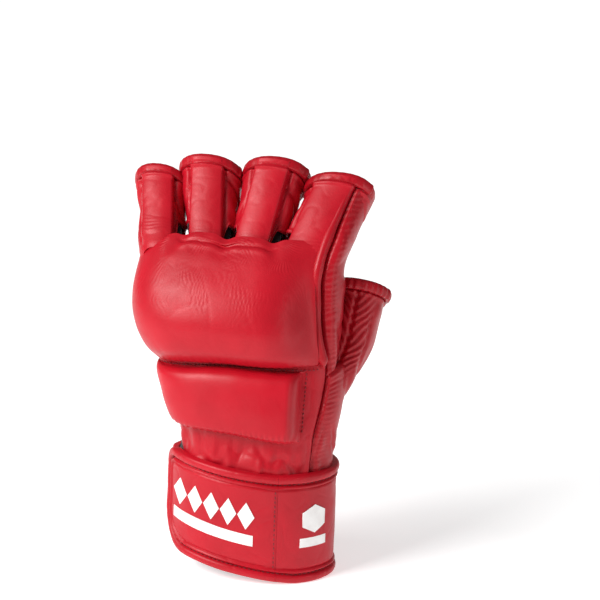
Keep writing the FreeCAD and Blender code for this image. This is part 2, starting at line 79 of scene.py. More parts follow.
# strap
STRAP_HALF = (46.0, 33.0)
STRAP_HEIGHT = 61.5
STRAP_THICK = 3.1
EDGE_ROLL = 2.3          # half width of the roll at the strap's edges
STITCH_SINK = -0.6       # outset of the stitches in the channel beside it
STITCH_INSET = 5.0       # from the strap's edge to the stitches beside the roll
TIP_START, TIP_END, BASE_START, BASE_END = 36.0, -80.0, 95.0, 276.0
TIP_TOP_RISE, TIP_BOTTOM_RISE, TIP_RISE_X = math.tan(math.radians(5.0)), math.tan(math.radians(8.5)), 31.0
TIP_RADII = {"top": 12.0, "bottom": 22.0}
PRINT_PROUD = 0.35       # thickness of the print over the leather
FOLD_TURN = 9.0          # degrees of the strap over which it bends as it peels
TUCK_TURN = 10.0         # degrees that the sewn run reaches under the free end
UNDER_TIP_RISE = 16.0    # how far the strap's lower edge rises where the free end lies over it
CUFF_LOW, CUFF_HIGH = 4.0, 64.0           # heights between which the cuff lies under the strap
STITCH_WIDTH = 0.62
SIM_FRAMES = 20          # of the cloth simulation that swells a pad

# bends, listed but not set up: from one body to the next, between two places in metres
WRIST_BEND = ("cuff", "hand", (0, 0, 63.0 * MM), (0, 0, 82.0 * MM))
INDEX_BEND = ("hand", "index", (0.025, 0.012, 0.163), (0.025, 0.020, 0.183))

# digits: x of the root, degrees of fan to the side and of tilt to the palm, length, half depth, how much the
# mouth slants, (height, half width) up the sheath, and the sides of the raised strip
DIGITS = {
    "little": {"x": -57.6, "fan": -11.0, "tilt": 41.0, "length": 37.0, "depth": 12.6, "slant": 4.0,
               "widths": [(-10, 12.8), (2, 13.4), (9, 13.3), (20, 13.2), (37, 13.5)], "strip": (-9.2, 8.2)},
    "ring": {"x": -31.0, "fan": -8.5, "tilt": 36.0, "length": 44.0, "depth": 12.8, "slant": 4.5,
             "widths": [(-10, 12.2), (2, 12.9), (9, 14.0), (22, 15.2), (44, 16.5)], "strip": (-9.3, 9.0)},
    "middle": {"x": -5.7, "fan": 6.4, "tilt": 34.0, "length": 46.0, "depth": 12.8, "slant": 4.5,
               "widths": [(-10, 12.4), (2, 13.2), (9, 14.3), (22, 15.6), (46, 17.0)], "strip": (-9.6, 9.2)},
    "index": {"x": 25.0, "fan": 13.5, "tilt": 37.0, "length": 41.0, "depth": 12.8, "slant": 4.0,
              "widths": [(-10, 16.4), (2, 17.0), (9, 17.2), (22, 17.2), (41, 17.4)], "strip": (-12.0, 10.4)},
    "thumb": {"length": 63.0, "depth": 14.4, "slant": 4.0,
              "widths": [(-14, 5.0), (-6, 9.0), (4, 11.5), (16, 12.4), (30, 13.2), (46, 13.8), (62, 15.0)]},
}
FOLD_Y, FOLD_Z = 14.0, 172.0
THUMB_ROOT, THUMB_WAY, THUMB_SIDE = (44.0, 18.0, 92.0), (0.10, 0.29, 0.95), (0.97, 0.22, 0.0)
DIGIT_SQUARENESS = 2.25
SHEATH_START, CROTCH_RISE = -9.0, 18.5    # where a sheath begins, and how much higher it does in a crotch
BINDING = 4.6            # height of the rolled edge at a mouth
WELT_OFFSET = 2.8        # from the dark seam to the middle of the welt
STRIP_EDGE = 10.9        # from the index finger's middle line to the dark seam
SIDE_TURN = 150.0        # degrees round the index finger to which the side skin reaches


# ------------------------------------------------------------------ materials
def linear(hex_colour):
    """sRGB hex to the linear colour that a shader wants."""
    value = hex_colour.lstrip("#")
    out = []
    for i in (0, 2, 4):
        c = int(value[i:i + 2], 16) / 255.0
        out.append(c / 12.92 if c <= 0.04045 else ((c + 0.055) / 1.055) ** 2.4)
    return (*out, 1.0)


def node(tree, kind, settings=None, links=None):
    """Adds a node, sets its values, and links (socket, from node, from socket)."""
    made = tree.nodes.new("ShaderNode" + kind)
    for key, value in (settings or {}).items():
        if isinstance(key, str) and hasattr(made, key):
            setattr(made, key, value)
        else:
            made.inputs[key].default_value = value
    for socket, source, out in links or []:
        tree.links.new(source.outputs[out], made.inputs[socket])
    return made


def empty_material(name):
    """A material with no nodes yet but its texture coordinates."""
    material = bpy.data.materials.new(name)
    material.use_nodes = True
    tree = material.node_tree
    tree.nodes.clear()
    return material, tree, [("Vector", node(tree, "TexCoord"), "Object")]


def ramp(tree, source, out, stops):
    """A colour ramp of hex colours over a value."""
    made = node(tree, "ValToRGB", links=[("Fac", source, out)])
    elements = made.color_ramp.elements
    for i, (place, colour) in enumerate(stops):
        stop = elements[i] if i < 2 else elements.new(place)
        stop.position, stop.color = place, linear(colour)
    return made


def finish_material(tree, shader):
    node(tree, "OutputMaterial", links=[("Surface", shader, "BSDF")])


def leather(name, light, deep, roughness, grain_depth, crease_depth):
    """Pigmented cowhide, plated and given a semi-gloss top coat: a fine pebble grain, soft creases
    where it bends, and dye that is a little uneven in soft patches at random."""
    material, tree, at = empty_material(name)
    cloud = node(tree, "TexNoise", {"Scale": 30.0, "Detail": 4.0, "Roughness": 0.55}, at)
    dye = ramp(tree, cloud, "Fac", [(0.28, deep), (0.74, light)])
    # pebbles about 0.7 mm across, a little coarser than cowhide's so that they show
    grain = node(tree, "TexVoronoi", {"Scale": 1400.0, "feature": "SMOOTH_F1"}, at)
    pores = node(tree, "TexNoise", {"Scale": 900.0, "Detail": 3.0, "Roughness": 0.6}, at)
    # creases a few millimetres long
    crease = node(tree, "TexNoise",
                  {"Scale": 130.0, "Detail": 5.0, "Roughness": 0.62, "Distortion": 0.8}, at)
    rough = node(tree, "MapRange", {"From Min": 0.3, "From Max": 0.7,
                                              "To Min": roughness - 0.05, "To Max": roughness + 0.07},
                 [("Value", crease, "Fac")])
    bend = node(tree, "Bump", {"Strength": crease_depth, "Distance": 0.0006},
                [("Height", crease, "Fac")])
    pebble = node(tree, "Bump", {"Strength": grain_depth, "Distance": 0.00012},
                  [("Height", grain, "Distance"), ("Normal", bend, "Normal")])
    pore = node(tree, "Bump", {"Strength": grain_depth * 0.6, "Distance": 0.0001},
                [("Height", pores, "Fac"), ("Normal", pebble, "Normal")])
    shader = node(tree, "BsdfPrincipled",
                  {"IOR": 1.4, "Coat Weight": 0.08, "Coat Roughness": 0.28,
                   "Specular Tint": (1.0, 0.72, 0.72, 1.0)},
                  [("Base Color", dye, "Color"), ("Roughness", rough, "Result"), ("Normal", pore, "Normal")])
    finish_material(tree, shader)
    return material


def cloth(name, colour, lighter, pitch_mm, direction="DIAGONAL"):
    """Woven or knitted polyester: matte, faintly fuzzy, with a rib one thread pitch apart."""
    material, tree, at = empty_material(name)
    ribs = node(tree, "TexWave", {"Scale": 0.314 / (pitch_mm * MM), "Distortion": 0.6,
                                            "bands_direction": direction}, at)
    fuzz = node(tree, "TexNoise", {"Scale": 500.0, "Detail": 4.0}, at)
    tone = ramp(tree, fuzz, "Fac", [(0.3, colour), (0.7, lighter)])
    rib = node(tree, "Bump", {"Strength": 0.4, "Distance": 0.0002}, [("Height", ribs, "Fac")])
    nap = node(tree, "Bump", {"Strength": 0.5, "Distance": 0.0002},
               [("Height", fuzz, "Fac"), ("Normal", rib, "Normal")])
    shader = node(tree, "BsdfPrincipled", {"Roughness": 0.85, "Sheen Weight": 0.2},
                  [("Base Color", tone, "Color"), ("Normal", nap, "Normal")])
    finish_material(tree, shader)
    return material


def speckled(name, colour, lighter, scale, roughness, depth):
    """A plain finish with its own fine texture: printed ink, thread or hook tape."""
    material, tree, at = empty_material(name)
    speck = node(tree, "TexNoise", {"Scale": scale, "Detail": 3.0}, at)
    tone = ramp(tree, speck, "Fac", [(0.35, colour), (0.65, lighter)])
    bump = node(tree, "Bump", {"Strength": depth, "Distance": 0.0002}, [("Height", speck, "Fac")])
    shader = node(tree, "BsdfPrincipled", {"Roughness": roughness},
                  [("Base Color", tone, "Color"), ("Normal", bump, "Normal")])
    finish_material(tree, shader)
    return material


RED = leather("red_cowhide", "#c01024", "#aa0b1c", 0.41, 0.30, 0.2)
RED_SOFT = leather("red_cowhide_gathered", "#b80e20", "#9d0918", 0.36, 0.32, 0.45)
RED_ROLLED = leather("red_cowhide_rolled", "#b50d1f", "#9a0817", 0.34, 0.3, 0.25)
LINING = cloth("black_polyester_lining", "#0b0b0c", "#1a1a1c", 0.5)
ELASTIC = cloth("black_ribbed_elastic", "#0a0a0b", "#1d1d1f", 1.2, "Z")
WEBBING = cloth("black_nylon_webbing", "#0d0d0e", "#1c1c1e", 1.0, "Z")
INK = speckled("white_plastisol_print", "#efecea", "#fbfaf8", 160.0, 0.5, 0.2)
# tone-on-tone red thread, coloured darker than the leather: the darkness is painted shade of the stitch holes
# and channels it sits in
THREAD_WITH_HOLE_SHADE = speckled("red_thread_darkened_as_hole_shade", "#6d0b15", "#860f1b", 1500.0, 0.5, 0.4)
HOOK = speckled("black_hook_and_loop", "#0c0c0d", "#222225", 1400.0, 0.9, 1.0)


# ------------------------------------------------------------------ mesh helpers
def make_piece(name, points, faces, material):
    """A smooth-shaded mesh from points in millimetres, with its real corners kept sharp."""
    mesh = bpy.data.meshes.new(name)
    mesh.from_pydata((np.asarray(points, float) * MM).tolist(), [], faces)
    mesh.update()
    piece = bpy.data.objects.new(name, mesh)
    bpy.context.scene.collection.objects.link(piece)
    mesh.materials.append(material)
    mesh.shade_smooth()
    mesh.set_sharp_from_angle(angle=math.radians(55))
    return piece


def apply_modifier(piece, modifier):
    bpy.ops.object.select_all(action="DESELECT")
    bpy.context.view_layer.objects.active = piece
    piece.select_set(True)
    bpy.ops.object.modifier_apply(modifier=modifier.name)


def grid_faces(rows, columns, wrap):
    last = columns if wrap else columns - 1
    v, u = np.meshgrid(np.arange(rows - 1), np.arange(last), indexing="ij")
    a = v * columns + u
    b = v * columns + (u + 1) % columns
    return np.stack([a, b, b + columns, a + columns], axis=-1).reshape(-1, 4)


def tube_faces(rings, sides):
    """Faces of a tube that is closed at both ends."""
    ends = [list(range(sides - 1, -1, -1)), [(rings - 1) * sides + k for k in range(sides)]]
    return grid_faces(rings, sides, True).tolist() + ends


def ring_faces(rows, columns):
    """Faces of a ring: a grid closed both ways."""
    closing = grid_faces(2, columns, True)
    closing = np.where(closing >= columns, closing - columns, closing + (rows - 1) * columns)
    return np.concatenate([grid_faces(rows, columns, True), closing])


def border_loop(rows, columns):
    """The grid's border, against the clock as seen from outside."""
    loop = list(range(columns))
    loop += [v * columns + columns - 1 for v in range(1, rows)]
    loop += [(rows - 1) * columns + u for u in range(columns - 2, -1, -1)]
    return loop + [v * columns for v in range(rows - 2, 0, -1)]


def closed_sheet(outer, inner, wrap):
    """Points and faces of a closed sheet between two grids of points."""
    rows, columns = outer.shape[:2]
    count = rows * columns
    faces = grid_faces(rows, columns, wrap)
    quads = faces.tolist() + (faces[:, ::-1] + count).tolist()
    if wrap:
        top = [(rows - 1) * columns + u for u in range(columns - 1, -1, -1)]
        loops = [list(range(columns)), top]
    else:
        loops = [border_loop(rows, columns)]
    for loop in loops:
        quads += [(b, a, a + count, b + count) for a, b in zip(loop, loop[1:] + loop[:1])]
    return np.concatenate([outer.reshape(-1, 3), inner.reshape(-1, 3)]), quads


def slab(name, outer, inner, wrap, material):
    return make_piece(name, *closed_sheet(outer, inner, wrap), material)


def grid_normals(grid, wrap):
    up = np.gradient(grid, axis=0)
    across = (np.roll(grid, -1, 1) - np.roll(grid, 1, 1)) if wrap else np.gradient(grid, axis=1)
    normal = np.cross(across, up)
    return normal / np.maximum(np.linalg.norm(normal, axis=2, keepdims=True), 1e-9)


def skin(name, grid, wrap, material, relief=0.0, thickness=LEATHER):
    """A sheet of leather over a grid of points, with relief on its face."""
    normal = grid_normals(grid, wrap)
    relief = np.broadcast_to(relief, grid.shape[:2])[..., None]
    return slab(name, grid + normal * relief, grid + normal * (relief - thickness), wrap, material)


def settle(piece, slot, moves, *nodes):
    """Hides the nodes a piece stands for and attaches the piece to the one body it moves with; for a
    bend from one body to the next it only bakes the piece's transform in and sets up no bend. The slot is not
    used."""
    if nodes:
        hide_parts(*nodes)
    if isinstance(moves, str):
        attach(piece, moves)
    else:
        inner, outer, start, end = moves
        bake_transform(piece)
        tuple(start)
        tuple(end)


def around(count):
    """Degrees once round, as a row."""
    return np.linspace(0, 360, count, endpoint=False)[None, :]


def upward(count):
    """Shares from 0 to 1, as a column."""
    return np.linspace(0, 1, count)[:, None]


def run_along(path):
    """Distance along a path to each of its points."""
    return np.concatenate([[0], np.cumsum(np.linalg.norm(np.diff(path, axis=0), axis=1))])


def curve_through(controls, count):
    """Points along a smooth curve through a few controls."""
    pts = np.array(controls, float)
    ends = np.vstack([2 * pts[0] - pts[1], pts, 2 * pts[-1] - pts[-2]])
    out = []
    for value in np.linspace(0, len(pts) - 1 - 1e-9, count):
        i, f = int(value), value - int(value)
        p0, p1, p2, p3 = ends[i:i + 4]
        out.append(0.5 * (2 * p1 + (p2 - p0) * f + (2 * p0 - 5 * p1 + 4 * p2 - p3) * f ** 2
                          + (3 * p1 - p0 - 3 * p2 + p3) * f ** 3))
    return np.array(out)


def smooth_step(value, low, high):
    t = np.clip((value - low) / (high - low), 0, 1)
    return t * t * (3 - 2 * t)


def hump(value, middle, width):
    return np.exp(-((value - middle) / width) ** 2)


def waves(points, size, seed, stretch=(1, 1, 1), count=16):
    """Smooth random relief, mostly from -1 to 1, with lumps about size millimetres across."""
    rng = np.random.RandomState(seed)
    ways = rng.normal(size=(count, 3))
    ways *= (rng.uniform(0.6, 1.4, count) * math.pi / np.linalg.norm(ways, axis=1))[:, None]
    phase = rng.uniform(0, 2 * math.pi, count)
    place = np.asarray(points) / (size * np.array(stretch, float))
    return np.sin(place @ ways.T + phase).sum(axis=-1) / math.sqrt(count)


def creases(points, size, seed, stretch=(1, 1, 1), sharp=0.3):
    """Narrow valleys, from 0 to -1, about size millimetres apart."""
    return -np.exp(-(waves(points, size, seed, stretch) / sharp) ** 2)


def edge_distances(grid):
    """Distance of each point from the grid's left, right, bottom and top edges, along the grid."""
    across = np.linalg.norm(np.diff(grid, axis=1), axis=2)
    up = np.linalg.norm(np.diff(grid, axis=0), axis=2)
    left = np.concatenate([np.zeros((grid.shape[0], 1)), np.cumsum(across, axis=1)], axis=1)
    low = np.concatenate([np.zeros((1, grid.shape[1])), np.cumsum(up, axis=0)], axis=0)
    return left, left[:, -1:] - left, low, low[-1:] - low


# ------------------------------------------------------------------ hand form
def level(z):
    """Centre and half sizes of the hand at a height."""
    z = np.asarray(z, float)
    u = (z - WRIST_Z) / (KNUCKLE_Z - WRIST_Z)
    ease = np.sin(np.radians(90 * np.clip(u, 0, 1)))
    a = WRIST_HALF[0] + (KNUCKLE_HALF[0] - WRIST_HALF[0]) * ease
    b = WRIST_HALF[1] + (KNUCKLE_HALF[1] - WRIST_HALF[1]) * np.clip(u, 0, 2)
    x = WRIST_X + (KNUCKLE_X - WRIST_X) * ease
    y = KNUCKLE_Y * np.clip(u, 0, 2) ** 1.4
    low = smooth_step(z, CUFF_TOP, WRIST_Z)
    a = CUFF_TOP_HALF[0] + (a - CUFF_TOP_HALF[0]) * low
    b = CUFF_TOP_HALF[1] + (b - CUFF_TOP_HALF[1]) * low
    return x * low, y, a, b


def oval(angle, half_x, half_y, squareness):
    """Offsets of a rounded section: to the side, and towards the back."""
    t = np.radians(angle)
    power = 2.0 / squareness
    side = half_x * np.sign(np.sin(t)) * np.abs(np.sin(t)) ** power
    back = half_y * np.sign(np.cos(t)) * np.abs(np.cos(t)) ** power
    return side, back


def on_hand(angle, z, out=0.0):
    """Point on the hand: degrees from the middle of the back towards the thumb, height, outset."""
    x, y, a, b = level(z)
    side, back = oval(angle, a + out, b + out, SQUARENESS)
    return np.stack(np.broadcast_arrays(x + side, y - back, np.asarray(z, float)), axis=-1)


def angle_at(x, z, palm=False):
    """The angle round the hand at which its surface has this x."""
    middle, _, half, _ = level(z)
    share = np.clip((x - middle) / half, -1, 1)
    t = np.degrees(np.arcsin(np.sign(share) * np.abs(share) ** (SQUARENESS / 2.0)))
    return 180.0 - t if palm else t


SEAM_POINTS = np.array([(57.0, 36.0), (81.0, 37.5), (113.5, 41.0), (135.0, 36.6), (158.0, 34.0),
                        (172.0, 35.2), (188.0, 38.6), (204.0, 42.0)])


def seam_x(z):
    """The dark seam between the back and the thumb side."""
    smooth = curve_through(SEAM_POINTS, 90)
    return np.interp(z, smooth[:, 0], smooth[:, 1])


def knuckle_low(x):
    """Height of the seam under the knuckle pad."""
    return PAD_LOW - 6.0 * smooth_step(-np.asarray(x, float), 5.0, 68.0)


# ------------------------------------------------------------------ digits
def digit_frame(name):
    """Root, direction, sideways direction (to the thumb side) and back direction of a digit."""
    digit = DIGITS[name]
    if name == "thumb":
        way = np.array(THUMB_WAY) / np.linalg.norm(THUMB_WAY)
        side = np.array(THUMB_SIDE) - way * np.dot(THUMB_SIDE, way)
        side /= np.linalg.norm(side)
        return np.array(THUMB_ROOT), way, side, np.cross(side, way)
    tilt = math.radians(digit["tilt"])
    way = np.array([0.0, math.sin(tilt), math.cos(tilt)])
    side = np.array([1.0, 0.0, 0.0])
    return np.array([digit["x"], FOLD_Y, FOLD_Z]), way, side, np.cross(side, way)


def half_width(name, along):
    """Half the width of a digit's sheath, mm from its root."""
    heights, halves = np.array(DIGITS[name]["widths"], float).T
    return np.interp(along, heights, halves)


def on_digit(name, angle, along, out=0.0):
    """Point on a digit's sheath: degrees from its back towards the thumb, mm from its root, outset."""
    digit = DIGITS[name]
    root, way, side, back = digit_frame(name)
    half = half_width(name, along)
    depth = digit["depth"]
    if name == "thumb":
        depth = depth * (0.35 + 0.65 * smooth_step(np.asarray(along, float), -14.0, 8.0))
    to_side, to_back = oval(angle, half + out, depth + out, DIGIT_SQUARENESS)
    if name == "thumb":
        # the base leans into the palm, and the thumb comes out of it
        lean = 1 - smooth_step(np.asarray(along, float), -8.0, 36.0)
        to_side, to_back = to_side - 10.0 * lean - 2.0, to_back + 8.0 * lean
    else:
        to_side = to_side + math.tan(math.radians(digit["fan"])) * np.asarray(along, float)
    along = np.broadcast_to(along, np.shape(to_side))
    return root + to_side[..., None] * side + to_back[..., None] * back + along[..., None] * way


def digit_offset(name, angle, along):
    """How far to the side of the digit's own middle line a place on its sheath is."""
    return oval(angle, half_width(name, along), 1.0, DIGIT_SQUARENESS)[0]


def mouth_end(name, angle):
    """Where the leather ends, mm from the root: further on the back than on the palm side."""
    digit = DIGITS[name]
    return digit["length"] - BINDING - 1.0 + digit["slant"] * np.cos(np.radians(angle))


def finger_relief(name, angle, along, spots):
    """Raised strip with a seam each side, folds down the gussets, pleats at the root."""
    digit = DIGITS[name]
    length = digit["length"]
    offset = digit_offset(name, angle, along)
    on_back = smooth_step(np.cos(np.radians(angle)), 0.0, 0.25)
    left, right = digit["strip"]
    inside = np.minimum(offset - left, right - offset)
    relief = 2.2 * smooth_step(inside, -0.3, 1.6) * on_back
    relief -= 1.5 * hump(inside, -0.9, 0.9) * on_back
    middle = np.sin(np.pi * np.clip(along / length, 0, 1))
    gusset = (1 - smooth_step(inside, -2.0, 0.0) * on_back) * smooth_step(middle, 0.0, 0.7)
    folds = 0.9 * waves(spots, 8.0, 21, (0.8, 0.8, 5.0)) + 1.5 * creases(spots, 10.0, 22, (1, 1, 4.5))
    relief += gusset * folds
    below_mouth = mouth_end(name, angle) - along
    relief += 0.9 * hump(below_mouth, 2.2, 1.0) - 0.9 * hump(below_mouth, 0.5, 0.8)
    near_root = 1 - smooth_step(along, 5.0, 21.0 if name == "index" else 11.0)
    pleats = -np.abs(np.sin(along * np.pi / 1.9 + 2.6 * waves(spots, 7.0, 31) + offset * 0.2)) ** 4
    pleats = pleats * smooth_step(waves(spots, 6.0, 32), -0.8, 0.6)
    strength = {"index": 0.5, "little": 0.25}.get(name, 0.15)
    side_bias = smooth_step(offset, -4.0, 10.0) if name == "index" else 1.0
    relief += strength * pleats * near_root * on_back * side_bias
    on_palm = smooth_step(-np.cos(np.radians(angle)), 0.1, 0.5)
    relief += on_palm * 0.55 * creases(spots, 10.0, 33, (1.0, 1.0, 1.4)) * smooth_step(middle, 0.1, 0.8)
    return relief + 0.25 * waves(spots, 14.0, 35) + 0.12 * creases(spots, 6.0, 36)


def make_finger(name):
    # the gussets stop short of the root and leave a hole in each crotch
    angle = around(132)
    from_side = np.abs(np.abs(angle - 180.0) - 96.0)
    hole = 1 - smooth_step(from_side, 30.0, 46.0)
    hole = hole * np.where(angle < 180.0, name != "index", name != "little")
    low = SHEATH_START + CROTCH_RISE * hole - 8.0 * hump(angle, 276.0, 40.0) * (name == "little")
    along = low + (mouth_end(name, angle) + 2.5 - low) * upward(84)
    angle = np.broadcast_to(angle, along.shape)
    grid = on_digit(name, angle, along)
    relief = finger_relief(name, angle, along, grid)
    relief += 0.9 * hump(along - low, 1.2, 1.1) * hole
    tuck = smooth_step(along, SHEATH_START, 0.0)
    sunk = 0.5 * (1 - tuck) + 2.0 * smooth_step(-along, 9.0, 16.0)
    sheath = skin(name + "_finger_sheath", grid, True, RED, relief * tuck - sunk)
    nodes = [name + part for part in ("_sheath", "_pad_strip", "_root_gusset")]
    settle(sheath, "red_leather", digit_bend(name), *nodes)
    finish_mouth(name)


def digit_bend(name):
    root, way = digit_frame(name)[:2]
    return "hand", name, tuple((root - way * 7.0) * MM), tuple((root + way * 9.0) * MM)


# rolled edge at a mouth: outset from the sheath and height above the end of the leather
ROLL = [(0.2, -1.2), (1.5, -0.6), (2.0, 1.0), (1.9, 3.0), (1.2, 4.4), (-0.4, 5.0), (-1.9, 4.4), (-2.9, 2.8),
        (-3.4, 0.0), (-3.7, -3.0), (-3.6, -6.0), (-2.6, -6.2), (-2.3, -3.0), (-1.6, -1.0)]


def finish_mouth(name):
    """Rolled binding, puckered inside, a row of stitches under it, and the lining."""
    columns = 176
    pucker_count, depth, outer_depth = (30, 0.55, 0.3) if name == "thumb" else (26, 0.42, 0.07)
    angle = around(columns)
    profile = curve_through(ROLL + ROLL[:1], 44)[:-1]
    out, up = profile[:, :1], profile[:, 1:]
    inside = smooth_step(-out, 0.6, 2.4)
    wobble = 0.5 * np.sin(np.radians(angle) * 5 + len(name))
    pucker = np.sin(np.radians(angle) * pucker_count + wobble)
    lap = 0.7 * hump(angle, 68.0, 3.6) - 0.5 * hump(angle, 74.0, 1.6)
    out = out + pucker * (depth * inside + outer_depth * (1 - inside)) + lap * (1 - inside)
    along = mouth_end(name, angle) + up + 0.15 * pucker * inside
    roll = on_digit(name, np.broadcast_to(angle, out.shape), along, out)
    faces = ring_faces(len(profile), columns)[:, ::-1].tolist()
    binding = make_piece(name + "_rolled_edge", roll.reshape(-1, 3), faces, RED_ROLLED)
    settle(binding, "red_leather_binding", name, name + "_mouth_binding")

    angle = np.broadcast_to(around(64), (26, 64))
    along = -6.0 + (mouth_end(name, angle) + 5.0) * upward(26)
    inner_face = on_digit(name, angle, along, -LINING_GAP - 0.6)
    lining = skin(name + "_fabric_lining", inner_face, True, LINING, 0.0, 0.7)
    settle(lining, "black_lining", digit_bend(name), name + "_lining")

    turn = np.linspace(0, 360, 400)
    rim = (name, turn, mouth_end(name, turn) - 0.9)
    sew(name + "_mouth_stitches", on_digit, rim, 0.35, 1.5, 2.4, name)


def thumb_relief(angle, along, spots):
    """A sewn groove up the back, gathers slanting away from it, a U-shaped seam on the palm side."""
    offset = digit_offset("thumb", angle, along)
    on_back = smooth_step(np.cos(np.radians(angle)), 0.0, 0.3)
    relief = -1.7 * hump(offset, -1.5, 1.1) * on_back * smooth_step(along, 16.0, 26.0)
    from_groove = np.abs(offset + 1.5)
    slant = np.sin((along * 0.9 - from_groove * 1.1) * 2 * np.pi / 4.6 + 2.0 * waves(spots, 11.0, 41))
    relief += 0.6 * slant * on_back * hump(from_groove, 5.0, 4.5) * smooth_step(along, 12.0, 24.0)
    folds = 0.9 * waves(spots, 12.0, 42, (1, 1, 2.0)) + 1.1 * creases(spots, 14.0, 43)
    relief += folds * (0.35 + 0.65 * on_back)
    on_palm = smooth_step(-np.cos(np.radians(angle)), 0.0, 0.3)
    below = np.minimum(along - 24.0, 0.0)
    u_seam = np.hypot(offset, below) - 9.6
    relief += on_palm * (0.7 * smooth_step(-u_seam, 0.0, 2.0) - 1.1 * hump(u_seam, 0.6, 0.8))
    below_mouth = mouth_end("thumb", angle) - along
    return relief + 0.8 * hump(below_mouth, 2.2, 1.0) - 0.9 * hump(below_mouth, 0.5, 0.8)


def make_thumb():
    angle = np.broadcast_to(around(132), (110, 132))
    along = -12.0 + (mouth_end("thumb", angle) + 14.5) * upward(110)
    grid = on_digit("thumb", angle, along)
    relief = thumb_relief(angle, along, grid) * smooth_step(along, 0.0, 14.0)
    sheath = skin("thumb_finger_sheath", grid, True, RED_SOFT, relief)
    settle(sheath, "red_leather", digit_bend("thumb"), "thumb_sheath", "thumb_root_gusset")
    finish_mouth("thumb")


# ------------------------------------------------------------------ stitches
# rings of one stitch: share of its length, share of its width, lift
STITCH_RINGS = [(-0.5, 0.15, -0.35), (-0.42, 0.75, -0.05), (0.0, 1.0, 0.12), (0.42, 0.75, -0.05),
                (0.5, 0.15, -0.35)]


def stitches(name, path, outward, pitch, moves, length=1.7):
    """A row of sewn stitches: short threads that dive into the leather at both ends."""
    run = run_along(path)
    count = max(2, int(run[-1] / pitch))
    places = (np.arange(count) + 0.5) * run[-1] / count

    def at(values, where):
        return np.stack([np.interp(where, run, values[:, i]) for i in range(3)], axis=1)

    middle = at(path, places)
    forward = at(path, places + 0.3) - at(path, places - 0.3)
    forward /= np.linalg.norm(forward, axis=1, keepdims=True)
    up = at(outward, places)
    up -= forward * (up * forward).sum(axis=1, keepdims=True)
    up /= np.linalg.norm(up, axis=1, keepdims=True)
    aside = np.cross(up, forward)
    sides = 6
    points = []
    for share, fat, lift in STITCH_RINGS:
        for k in range(sides):
            t = 2 * math.pi * k / sides
            points.append(middle + forward * (share * length) + aside * (math.cos(t) * fat * STITCH_WIDTH / 2)
                          + up * (math.sin(t) * fat * STITCH_WIDTH / 2 + lift))
    per = len(points)
    block = [face[::-1] for face in tube_faces(len(STITCH_RINGS), sides)]
    faces = [[i * per + j for j in face] for i in range(count) for face in block]
    row = make_piece(name, np.stack(points, axis=1).reshape(-1, 3), faces, THREAD_WITH_HOLE_SHADE)
    settle(row, "red_leather_binding", moves)


def sew(name, surface, places, sink, reach, pitch, moves, length=1.7):
    """Stitches along places on a surface, at one outset (sink) and upright towards another (reach)."""
    path = surface(*places, sink)
    stitches(name, path, surface(*places, reach) - path, pitch, moves, length)


# ------------------------------------------------------------------ camera, light, floor
def add_camera():
    """Long lens, a little to the thumb side and above, the glove left of the middle of the frame."""
    azimuth, elevation, roll = math.radians(13.0), math.radians(16.5), math.radians(2.0)
    distance, frame_width = 1500.0, 321.6
    shift_right, shift_up = 23.6, 37.3
    back = Vector((math.sin(azimuth) * math.cos(elevation), -math.cos(azimuth) * math.cos(elevation),
                   math.sin(elevation)))
    right = Vector((math.cos(azimuth), math.sin(azimuth), 0))
    up = back.cross(right)
    cam_right = right * math.cos(roll) + up * math.sin(roll)
    cam_up = up * math.cos(roll) - right * math.sin(roll)
    aim = Vector((0, 0, 110.0)) + cam_right * shift_right + cam_up * shift_up
    camera = bpy.data.objects.new("camera", bpy.data.cameras.new("camera"))
    camera.data.sensor_width = 36.0
    camera.data.lens = 36.0 * distance / frame_width
    camera.data.clip_end = 20.0
    turn = Matrix((cam_right, cam_up, back)).transposed().to_4x4()
    camera.matrix_world = Matrix.Translation((aim + back * distance) * MM) @ turn
    bpy.context.scene.collection.objects.link(camera)
    bpy.context.scene.camera = camera


def aim_light(name, lamp, spot):
    light = bpy.data.objects.new(name, lamp)
    light.location = spot
    light.rotation_euler = (Vector((0, 0, 0.12)) - Vector(spot)).to_track_quat("-Z", "Y").to_euler()
    bpy.context.scene.collection.objects.link(light)


def add_softbox(name, spot, size, power):
    lamp = bpy.data.lights.new(name, "AREA")
    lamp.shape = "RECTANGLE"
    lamp.size, lamp.size_y = size
    lamp.energy = power
    aim_light(name, lamp, spot)


def add_wide_light(name, spot, strength, spread):
    """Even light from one side, as from a large distant window."""
    lamp = bpy.data.lights.new(name, "SUN")
    lamp.energy = strength
    lamp.angle = math.radians(spread)
    aim_light(name, lamp, spot)


def add_studio():
    scene = bpy.context.scene
    scene.view_settings.view_transform = "Standard"
    world = bpy.data.worlds.new("studio")
    scene.world = world
    world.use_nodes = True
    background = world.node_tree.nodes["Background"]
    background.inputs["Color"].default_value = (1.0, 1.0, 1.0, 1.0)
    background.inputs["Strength"].default_value = 0.22
    add_wide_light("window_left", (-1.3, -1.0, 1.7), 1.5, 35.0)
    add_softbox("softbox_left", (-0.8, -0.9, 0.85), (0.6, 0.6), 13.0)
    add_softbox("strip_right", (0.9, -0.35, 0.3), (0.12, 0.6), 1.0)
    bpy.ops.mesh.primitive_plane_add(size=12.0, location=(0, 0, 0))
    floor = bpy.context.object
    floor.name = "floor"
    material, tree, at = empty_material("pale_floor")
    speck = node(tree, "TexNoise", {"Scale": 30.0}, at)
    tone = ramp(tree, speck, "Fac", [(0.3, "#f1f1f1"), (0.7, "#f4f4f4")])
    shader = node(tree, "BsdfPrincipled",
                  {"Roughness": 0.8, "Emission Color": (1, 1, 1, 1), "Emission Strength": 0.55},
                  [("Base Color", tone, "Color")])
    finish_material(tree, shader)
    floor.data.materials.append(material)


# ------------------------------------------------------------------ pads
def vertex_values(piece, kind):
    """Places or normals of a mesh's vertices."""
    values = np.zeros(len(piece.data.vertices) * 3, np.float32)
    piece.data.vertices.foreach_get(kind, values)
    return values.reshape(-1, 3)


